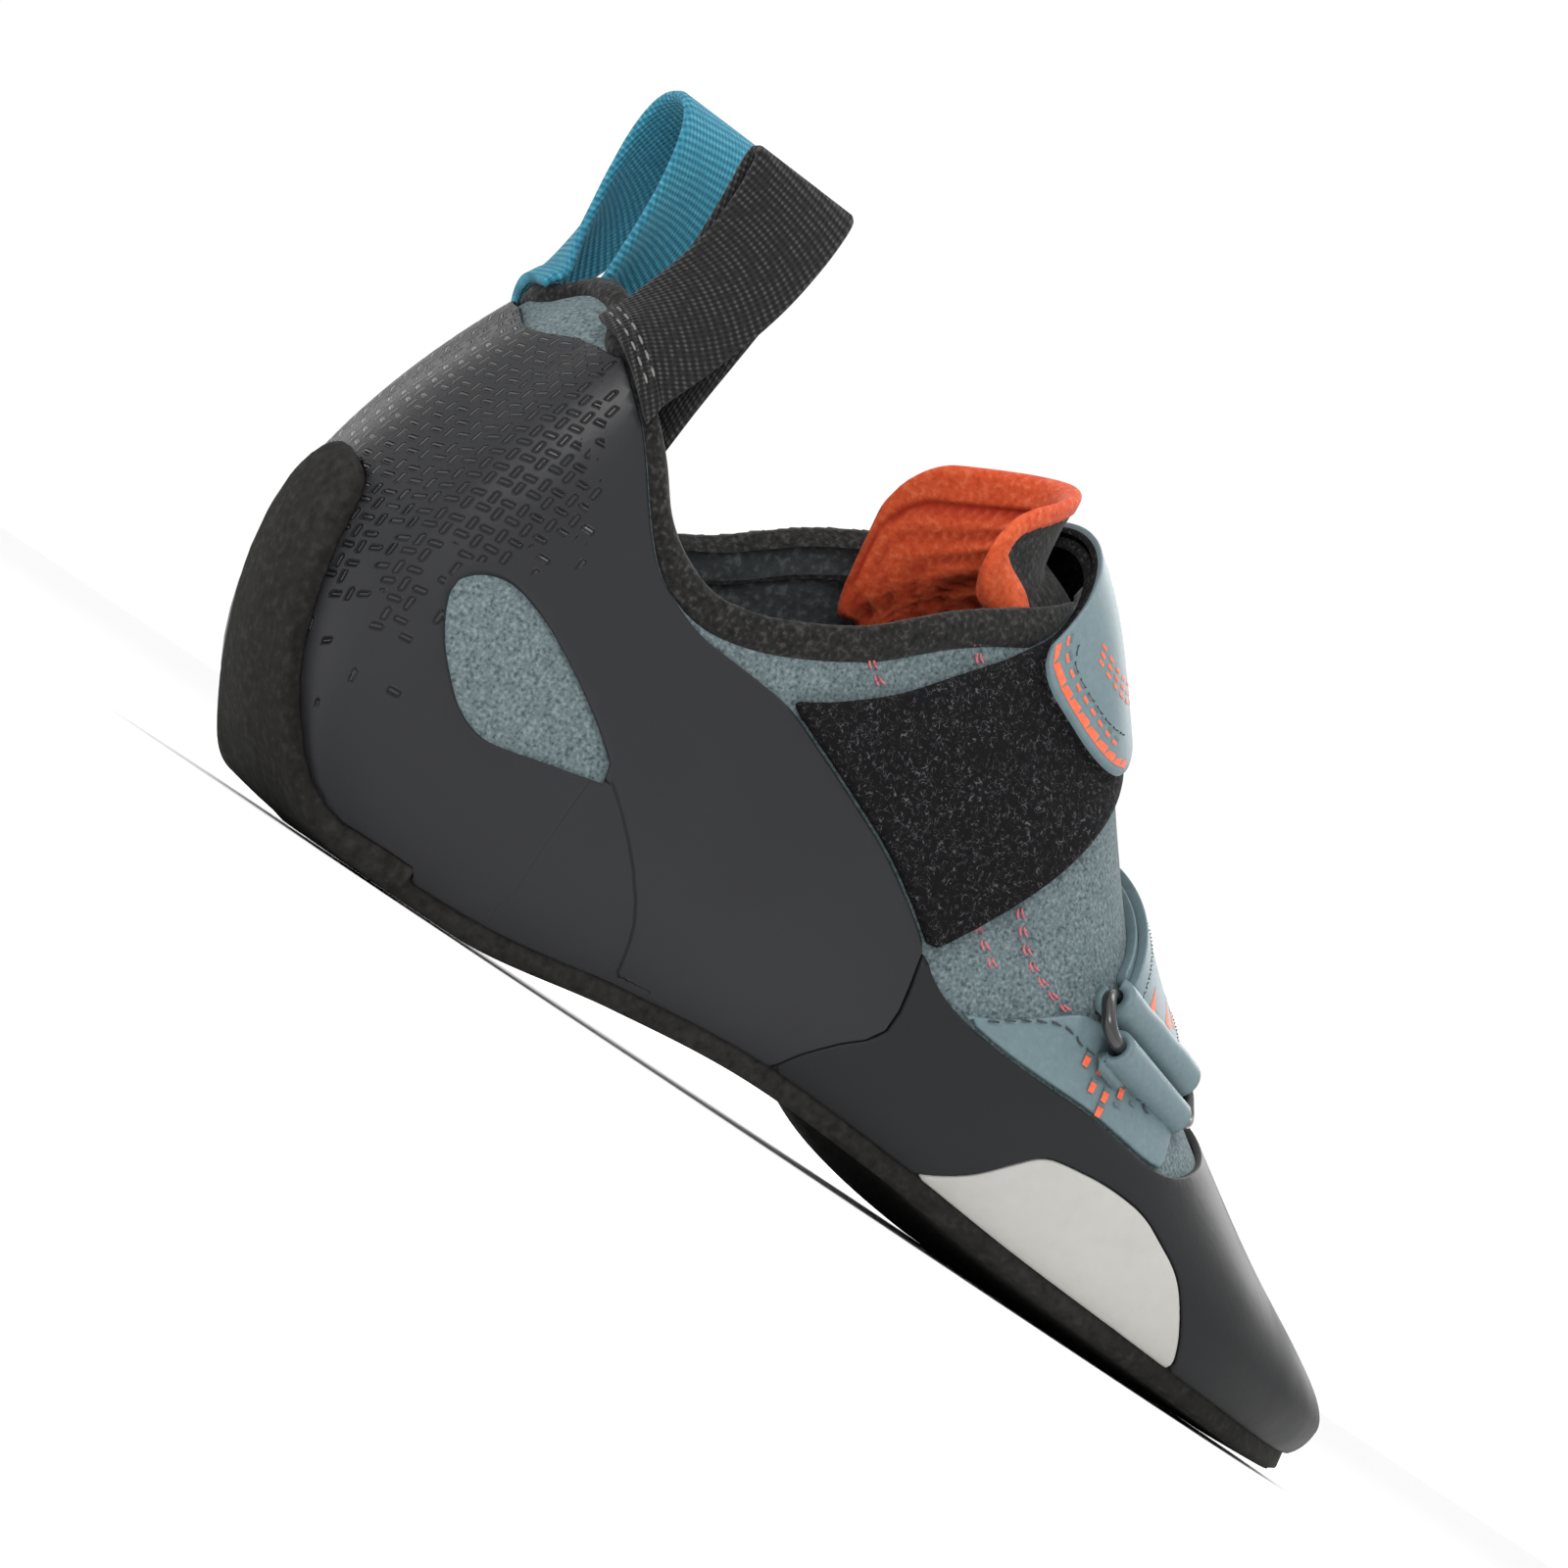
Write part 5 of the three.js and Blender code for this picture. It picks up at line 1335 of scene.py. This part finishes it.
def instep_flap_field(u, s):
    band = side_field(u, s, free_end, INSTEP_BACK)
    return clipped(band, u, s, ALL, above_bar(INSTEP_BAR, 0))


def soft_pile(u, s, f, out):
    """The tape's pile stands a little higher and softer away from its edges."""
    return out + 0.25 * np.clip(f / 3, 0, 1)


def strap_grid(u0, u1):
    return grid_patch(u0, u1, 2, 3, 1.1)


panel("instep_loop_tape", strap_grid(3, 25), instep_field, LAYER[0], STRAP, PILE,
      "loop_pile", ["instep_strap"], roll=0.9, puff=soft_pile)
panel("instep_fold_back", strap_grid(3, 25), instep_flap_field, LAYER[2] + 0.9,
      STRAP - 0.9, COATED, "coated_strap", ["instep_flap"], below=LAYER[2] + 0.8)
panel("instep_flap_pile", strap_grid(3, 25),
      lambda u, s: instep_flap_field(u, s) + 0.25, LAYER[2], 0.95, PILE, "loop_pile",
      roll=0.4)


# %% Forefoot strap and its flap
def fore_inner_line():
    return [(0.552 * LENGTH, 0.325 * INSTEP)] + fore_rear + fore_front[::-1] + side_view(
        [(0.66, 0.312), (0.6, 0.316)])


def fore_field(u, s):
    band = side_field(u, s, fore_rear + fore_front[::-1], fore_inner_line())
    return clipped(band, u, s, above_bar(FORE_BAR, FOLD - 1), ALL)


def fore_flap_field(u, s):
    band = side_field(u, s, FORE_BACK, smooth_line(FORE_FREE))
    return clipped(band, u, s, above_bar(FORE_BAR, 0), ALL)


panel("forefoot_band", strap_grid(3, 25), fore_field, LAYER[0], STRAP, COATED,
      "coated_strap", ["forefoot_strap"])
panel("forefoot_fold_back", strap_grid(3, 25), fore_flap_field, LAYER[2], STRAP,
      COATED, "coated_strap", ["forefoot_flap"])


# %% [markdown]
# Each fold is a sleeve: a sheet two millimetres thick that turns most of the way round the bar.
# Each ring is a round wire bent into a rounded rectangle and swept with a circle of 14 points,
# so that it looks round where the light runs along it.

# %% Folds round the bars and wire rings
def bar_frame(line, inner, towards):
    """Ends of the bar, its direction, the way to the anchor and the way out of the shoe."""
    a, b = (side_point(x, z, ON_BAR, inner) for x, z in line)
    along = (b - a) / np.linalg.norm(b - a)
    wide = towards - (a + b) / 2
    wide -= along * wide.dot(along)
    wide /= np.linalg.norm(wide)
    outward = np.cross(along, wide)
    return a, b, along, wide, outward * (1 if (outward[1] > 0) == inner else -1)


def sleeve(name, frame_of_bar, material, slot, start, turn):
    a, b, along, wide, outward = frame_of_bar
    a, b = a + (b - a) * 0.07, b - (b - a) * 0.07
    steps, n = np.linspace(0, 1, 40), 44
    angle = np.radians(start + turn * np.linspace(0, 1, n))
    grids = []
    for radius in (FOLD - 0.1, FOLD - STRAP + 0.05):
        ring = np.cos(angle)[:, None] * wide + np.sin(angle)[:, None] * outward
        slump = 1 + 0.02 * np.sin(steps * 17)
        grid = [a + (b - a) * t + ring * radius * k for t, k in zip(steps, slump)]
        grids.append(np.array(grid))
    return make_piece(name, *slab(*grids), material, slot)


def wire_ring(name, frame_of_bar, width, node):
    a, b, along, wide, outward = frame_of_bar
    middle, half = (a + b) / 2, np.linalg.norm(b - a) / 2
    r = RING_CORNER
    corners = [(half - r, r, -90), (half - r, width - r, 0), (-half + r, width - r, 90),
               (-half + r, r, 180)]
    path = []
    for x, y, start in corners:
        for angle in np.radians(start + np.linspace(0, 90, 9)):
            path.append(middle + along * (x + r * math.cos(angle))
                        + wide * (y + r * math.sin(angle)))
    path = np.array(path)
    fine = []
    for p, q in zip(path, np.roll(path, -1, 0)):
        n = max(int(np.linalg.norm(q - p) / 1.2), 1)
        fine += [p + (q - p) * t / n for t in range(n)]
    path = np.array(fine)
    ahead = np.roll(path, -1, 0) - np.roll(path, 1, 0)
    ahead /= np.linalg.norm(ahead, axis=1)[:, None]
    side = np.cross(ahead, outward)
    angle = np.linspace(0, 2 * np.pi, 15)[:-1]
    rings = path[:, None, :] + WIRE / 2 * (np.cos(angle)[None, :, None] * side[:, None, :]
                                          + np.sin(angle)[None, :, None] * outward)
    n, m = rings.shape[:2]
    faces = []
    for i in range(n):
        here, there = i * m, (i + 1) % n * m
        faces += [[here + k, there + k, there + (k + 1) % m, here + (k + 1) % m]
                  for k in range(m)]
    return make_piece(name, rings.reshape(-1, 3), faces, WIRE_BLACK, "wire", [node])


instep_aim = side_point(0.46 * LENGTH, 0.57 * INSTEP, ON_BAR - 0.5, True)
fore_aim = side_point(0.61 * LENGTH, 0.385 * INSTEP, ON_BAR + 0.7, False)
instep_bar = bar_frame(INSTEP_BAR, True, instep_aim)
fore_bar = bar_frame(FORE_BAR, False, fore_aim)
wire_ring("instep_wire_ring", instep_bar, 9.0, "instep_ring")
wire_ring("forefoot_wire_ring", fore_bar, 7.6, "forefoot_ring")
sleeve("instep_fold", instep_bar, COATED, "coated_strap", -150, 300)
sleeve("forefoot_fold", fore_bar, COATED, "coated_strap", -150, 300)


def anchor_sleeve(name, frame_of_bar, width, share):
    """The anchor's doubled edge round the far bar of its ring, with a hem down to the skin."""
    a, b, along, wide, outward = frame_of_bar
    a, b = (q + wide * width - outward * 0.6 for q in (a, b))
    a, b = a + (b - a) * share, b - (b - a) * share
    steps = np.linspace(0, 1, 30)
    angle = np.radians(np.linspace(-40, 262, 40))
    grids = []
    for radius in (WIRE / 2 + BAR_ROOM + PANEL + 0.3, WIRE / 2 + BAR_ROOM + 0.1):
        ring = -np.cos(angle)[:, None] * wide + np.sin(angle)[:, None] * outward
        ring = np.concatenate([ring, ring[-1:] + wide * np.array([[0.5], [1.1]])])
        grids.append(np.array([a + (b - a) * t + ring * radius for t in steps]))
    return make_piece(name, *slab(*grids), COATED, "coated_strap")


anchor_sleeve("forefoot_anchor_fold", fore_bar, 7.6, 0.13)
anchor_sleeve("instep_anchor_fold", instep_bar, 9.0, 0.2)

# %% Anchor panels under the rings
anchor_low = [(x, z + 2 * GAP) for x, z in toe_line if 118.3 < x < 166]
fore_anchor_line = anchor_low + smooth_line(FORE_TAB)
ANCHOR_FOLD = smooth_line([(139.2, 41.6), (145, 42.0), (151, 41.2), (157.5, 39.1), (164.5, 37.1)])


def anchor_puff(u, s, f, out):
    """The doubled edge under the ring is a little fuller than the rest."""
    d = line_distance(skin(u, s, 0)[:, [0, 2]], ANCHOR_FOLD)
    return out + 0.5 * np.exp(-((d / 2.2) ** 2))


panel("forefoot_anchor_panel", grid_patch(6, 11, 2, 3, 0.9),
      lambda u, s: side_field(u, s, fore_anchor_line, None), 0, PANEL, COATED,
      "coated_strap", ["forefoot_anchor"], puff=anchor_puff)
panel("instep_anchor_tab", grid_patch(19, 25, 2, 3, 1.0),
      lambda u, s: side_field(u, s, None, smooth_line(INSTEP_TAB)), 0, PANEL,
      COATED, "coated_strap", ["instep_anchor"])


# %% [markdown]
# Two loops of webbing stand on the collar edge to pull the shoe on. The outer one is pressed
# flat and the inner one stays open. Their points also store how far they are along and across
# the tape, in millimetres, which is all that the woven finish needs.

# %% Pull loops
LOOP_LAPS = (1.0, 2.9)
LOOP_HEM = 4.0
OUTER_TOP = [(0.064, -0.268, 0.161), (0.143, -0.275, 0.177)]
INNER_TOP = [(0.072, 0.112, 0.08), (0.165, 0.115, 0.09)]
FLAT_ARCH = [(-1, 0, 0), (-0.5, 0, 0), (0, 0, 0), (0.2, 0.02, 0.04), (0.4, 0.036, 0.08),
             (0.6, 0.049, 0.09), (0.8, 0.055, 0.06), (0.93, 0.055, 0.02), (0.99, 0.036, 0)]
OPEN_ARCH = [(-1, 0, 0), (-0.5, 0, 0), (0, 0, 0), (0.15, 0.091, 0), (0.3, 0.162, 0),
             (0.5, 0.233, 0), (0.68, 0.259, 0), (0.82, 0.239, 0), (0.92, 0.181, 0),
             (0.98, 0.097, 0)]


def collar_point(u, out, drop):
    low, high = 2.0, 2.95
    for _ in range(30):
        mid = (low + high) / 2
        x, _, z = skin(u, mid, out)
        if z < np.interp(x, *np.array(COLLAR).T) - drop:
            low = mid
        else:
            high = mid
    return skin(u, low, out)


def loop_grid(inner, top, arch):
    sign = 1 if inner else -1
    crown = np.array([(LENGTH * x, BALL * y, COLLAR[1][1] + LOOP_HEIGHT * (1 - drop))
                      for x, y, drop in top])

    def point(t, bulge, lean, way, share):
        u = LOOP_LAPS[0] + (LOOP_LAPS[1] - LOOP_LAPS[0]) * share
        lap = LAP - u if inner else u
        out = GAP + TRIM + 0.9 + WEBBING / 2 if way > 0 else -WALL - GAP - TRIM - 1.6 - WEBBING / 2
        rim = collar_point(lap, out, -GAP - TRIM)
        if t <= 0:
            return rim + (collar_point(lap, out, LOOP_HEM) - rim) * -t
        centre = collar_point(lap, (GAP - WALL) / 2, -GAP - TRIM)
        away = rim + (centre - rim) * min(t * 1.2, 1)
        here = away + (crown[0] + (crown[1] - crown[0]) * share - away) * t
        return here + [0, sign * LOOP_HEIGHT * (bulge * way + lean), 0]

    spread = np.linspace(0, 1, 6)
    out = [[point(*row, 1, q) for q in spread] for row in arch]
    back = [[point(*row, -1, q) for q in spread] for row in arch[::-1]]
    crest = [[crown[0] + (crown[1] - crown[0]) * q for q in spread]]
    return resample(np.array(out + crest + back), 150, 30)


def grid_normals(grid):
    n = np.cross(np.gradient(grid, axis=0), np.gradient(grid, axis=1))
    return n / np.maximum(np.linalg.norm(n, axis=-1, keepdims=True), 1e-9)


def pull_loop(name, grid, material, slot, node):
    n = grid_normals(grid)
    across = walked(grid, 1)
    along = walked(grid, 0)
    along = np.repeat(along.mean(1)[:, None], grid.shape[1], 1)
    edge = np.minimum(across, across[:, -1:] - across)
    half = WEBBING / 2 * np.sqrt(np.clip(edge / 0.7, 0.12, 1))[..., None]
    fields = {"along": np.tile(along.ravel(), 2), "across": np.tile(across.ravel(), 2)}
    return make_piece(name, *slab(grid + n * half, grid - n * half), material, slot, [node],
                      fields)


outer_grid_points = loop_grid(False, OUTER_TOP, FLAT_ARCH)
inner_grid_points = loop_grid(True, INNER_TOP, OPEN_ARCH)
pull_loop("pull_loop_black", outer_grid_points, BLACK_WEB, "webbing_black", "pull_loop_outer")
pull_loop("pull_loop_blue", inner_grid_points, BLUE_WEB, "webbing_blue", "pull_loop_inner")

# %% [markdown]
# Stitches are small things, but the eye finds them first. Each is a bead of thread that rises
# from the surface and dives back into it. A seam is a line drawn in side view, put on the skin,
# and walked in steps of one stitch and one gap.

# %% Rows of stitches
def beads(points, normals, stitch, gap, radius, slant=0.0):
    """Points and faces of stitches along a line on the surface."""
    step = np.linalg.norm(np.diff(points, axis=0), axis=1)
    walk = np.concatenate([[0], np.cumsum(step)])
    places, faces = [], []
    for start in np.arange(0.3, walk[-1] - stitch, stitch + gap):
        t = np.linspace(0, 1, 7)
        at = start + stitch * t
        line = np.stack([np.interp(at, walk, points[:, k]) for k in range(3)], 1)
        n = np.stack([np.interp(at, walk, normals[:, k]) for k in range(3)], 1)
        ahead = line[-1] - line[0]
        ahead /= np.linalg.norm(ahead)
        side = np.cross(n, ahead)
        line = line + side * ((t - 0.5) * slant)[:, None]
        rise = np.sin(np.pi * t) ** 0.6 * 1.5 - 0.9
        thick = radius * (0.55 + 0.45 * np.sin(np.pi * t))
        for k in range(7):
            for angle in np.arange(6) * np.pi / 3:
                places.append(line[k] + n[k] * (radius * rise[k] + thick[k] * math.sin(angle))
                              + side[k] * thick[k] * math.cos(angle))
        first = len(places) - 42
        for k in range(6):
            for j in range(6):
                a, b = first + 6 * k + j, first + 6 * k + (j + 1) % 6
                faces.append([a, b, b + 6, a + 6])
        faces.append([first + j for j in range(5, -1, -1)])
        faces.append([first + 36 + j for j in range(6)])
    return places, faces


def seam(lines, out, inner=False, stitch=1.9, gap=0.9, radius=0.27, slant=0.0):
    """Bead points and faces for several side-view lines on one side of the shoe."""
    made = []
    for line in lines:
        u, s = on_side(smooth_line(line, 1.5), inner)
        made.append(beads(skin(u, s, out), normal_at(u, s, out), stitch, gap, radius, slant))
    return together(*made)


def together(*parts):
    """Several small meshes as one."""
    places, faces = [], []
    for new, more in parts:
        faces += [[v + len(places) for v in q] for q in more]
        places.extend(new)
    return np.array(places), faces


# %% Red stitching on the suede
REAR_SEAM = [(75.3, 71.6), (79.5, 67.8), (83.1, 66.3)]
REAR_LOW = [(112.5, 47.6), (115.4, 45), (119.7, 42.2), (122.6, 40.3)]
FRONT_SEAM = [(91.4, 81.4), (93, 80.2), (95.3, 77.8)]
FRONT_LOW = [(118, 53.5), (121, 49.9), (124.4, 46.4), (126.6, 45), (131, 43.2), (136.4, 42.2)]
RED_LINES = [REAR_SEAM, REAR_LOW, FRONT_SEAM, FRONT_LOW]
RED_THREAD_SIZE = (1.7, 1.2, 0.24)
second_row = [moved(q, 0.75, 0.4) for q in RED_LINES]
red = together(seam(RED_LINES, 0.3, False, *RED_THREAD_SIZE, 0.25),
               seam(second_row, 0.3, False, *RED_THREAD_SIZE, -0.25),
               seam(RED_LINES, 0.1, True, *RED_THREAD_SIZE, 0.25))
make_piece("red_stitches", *red, RED_THREAD, "suede")

# %% [markdown]
# Coated straps are sewn with dark thread a few millimetres inside their edges. The lines below
# follow the edges of the flap, the anchor and the forefoot strap.

# %% Dark stitching on the straps
FLAP_SEAM = [(109.2, 86.5), (109.5, 84), (112, 82.2), (116, 80.6), (121, 79.2), (126, 79)]
ANCHOR_SEAM = [(124.2, 34.0), (129.2, 37.2), (134.8, 39.7), (137.6, 39.9), (141, 38.9),
               (147, 38.9), (153, 37.8), (160, 35.5)]
FORE_SEAM = [(147.5, 46.5), (151, 52.6), (156, 60.2), (162.5, 70)]
FORE_FRONT_SEAM = [(165.3, 45), (169.6, 50.5), (175, 57.8), (181, 65)]
flap_dark = seam([FLAP_SEAM], LAYER[3], False, 1.8, 1.0, 0.22)
anchor_dark = seam([ANCHOR_SEAM], PANEL + 0.35, False, 1.8, 0.9, 0.24, 0.3)
fore_dark = seam([FORE_SEAM, FORE_FRONT_SEAM], LAYER[3], False, 1.6, 1.0, 0.2)
inner_dark = seam([[(93.5, 50.6), (104, 44.6), (110, 42)], [(121, 57), (119, 60)]], PANEL, True,
                  1.8, 1.0, 0.22)
dark = together(flap_dark, anchor_dark, fore_dark, inner_dark)
make_piece("dark_stitches", *dark, DARK_THREAD, "coated_strap")


# %% Grey stitching on the pull loops
def loop_rows(grid, rows, side):
    """Stitches across a tape, at given rows of its grid."""
    n = grid_normals(grid) * side
    return together(*[beads(grid[k, 2:-2] + n[k, 2:-2] * WEBBING / 2, n[k, 2:-2], 1.9, 0.9, 0.2)
                      for k in rows])


outward = 1 if np.cross(outer_grid_points[9, 15] - outer_grid_points[7, 15],
                        outer_grid_points[8, 16] - outer_grid_points[8, 14])[1] < 0 else -1
make_piece("loop_stitches", *loop_rows(outer_grid_points, [6, 13, 14], outward),
           GREY_THREAD, "webbing_black")


# %% [markdown]
# The prints are plain marks: an orange edge and rows of short dashes on the flap, small blocks
# on the anchor, two triangles and a bar on the forefoot strap. Each mark is a small patch laid
# just above the coated skin, so that it bends with it.

# %% Printed marks
def mark(corners, out, inner=False, n=4):
    """A four-cornered patch on the skin between side-view corners."""
    a, b, c, d = (np.array(q, float) for q in corners)
    line = [((1 - i / n) * ((1 - k / n) * a + k / n * b) + i / n * ((1 - k / n) * d + k / n * c))
            for i in range(n + 1) for k in range(n + 1)]
    u, s = on_side(line, inner)
    starts = [i * (n + 1) + k for i in range(n) for k in range(n)]
    faces = [[a, a + 1, a + n + 2, a + n + 1] for a in starts]
    return list(skin(u, s, out)), faces


def dash_row(line, out, step, long, wide):
    """Short blocks along a side-view line."""
    p = np.array(smooth_line(line, 0.5))
    walk = np.concatenate([[0], np.cumsum(np.linalg.norm(np.diff(p, axis=0), axis=1))])
    made = []
    for start in np.arange(0, walk[-1] - long, step):
        a = np.array([np.interp(start, walk, p[:, j]) for j in (0, 1)])
        b = np.array([np.interp(start + long, walk, p[:, j]) for j in (0, 1)])
        side = np.array([-(b - a)[1], (b - a)[0]]) / np.linalg.norm(b - a) * wide / 2
        made.append(mark([a - side, b - side, b + side, a + side], out, n=2))
    return made


FLAP_EDGE = [(104.9, 84.3), (105.6, 81.8), (108.6, 79.6), (113.2, 77.6), (118.6, 75.7),
             (124, 74.7), (128, 75)]
ON_FLAP = LAYER[3] + 0.06
edge_points = smooth_line(FLAP_EDGE, 2.0)
edge_band = [mark([(x0, z0), (x1, z1), (x1 + 0.5, z1 + 1.3), (x0 + 0.9, z0 + 0.9)], ON_FLAP, n=2)
             for (x0, z0), (x1, z1) in zip(edge_points, edge_points[1:])]
orange_rows = dash_row(moved(FLAP_EDGE, 1.9, 2.2)[:-1], ON_FLAP, 2.4, 1.3, 0.55)
grey_rows = dash_row(moved(FLAP_EDGE, 2.5, 2.9)[:-1], ON_FLAP, 2.4, 1.3, 0.5)
for shift in (8.6, 9.7, 10.8):
    orange_rows += dash_row(moved(FLAP_EDGE[3:], 1.4, shift), ON_FLAP, 2.6, 1.4, 0.5)
BLOCKS = [(142, 37.2), (145.2, 37.2), (148.2, 36.8), (145, 34.4), (148, 34.2), (151, 35.9),
          (148, 31.9), (151, 33.2), (154.2, 34.6)]
ON_ANCHOR = PANEL + 0.36
ORANGE_BLOCK = [(0, -0.6), (1.1, -0.6), (1.3, 0.9), (0, 0.9)]
GREY_BLOCK = [(0, 0.95), (1.3, 0.95), (1.3, 1.5), (0, 1.5)]
TRIANGLE = [(0, 0), (2.2, -0.8), (2.0, 2.6), (1.9, 2.6)]
anchor_orange = [mark(moved(ORANGE_BLOCK, x, z), ON_ANCHOR, n=2) for x, z in BLOCKS[:7]]
anchor_grey = [mark(moved(GREY_BLOCK, x, z), ON_ANCHOR, n=2) for x, z in BLOCKS]
ON_FORE = LAYER[3] + 0.06
triangles = [mark(moved(TRIANGLE, x, z), ON_FORE, n=3) for x, z in ((151.5, 47.6), (158.5, 46.6))]
fore_bar_mark = [mark([(163, 46.6), (165.2, 46.2), (166.8, 52), (164.8, 52.4)], ON_FORE)]
make_piece("orange_marks", *together(*edge_band, *orange_rows, *anchor_orange,
                                     *triangles, *fore_bar_mark),
           ORANGE_INK, "coated_strap")
make_piece("grey_marks", *together(*grey_rows, *anchor_grey), GREY_PRINT, "coated_strap")
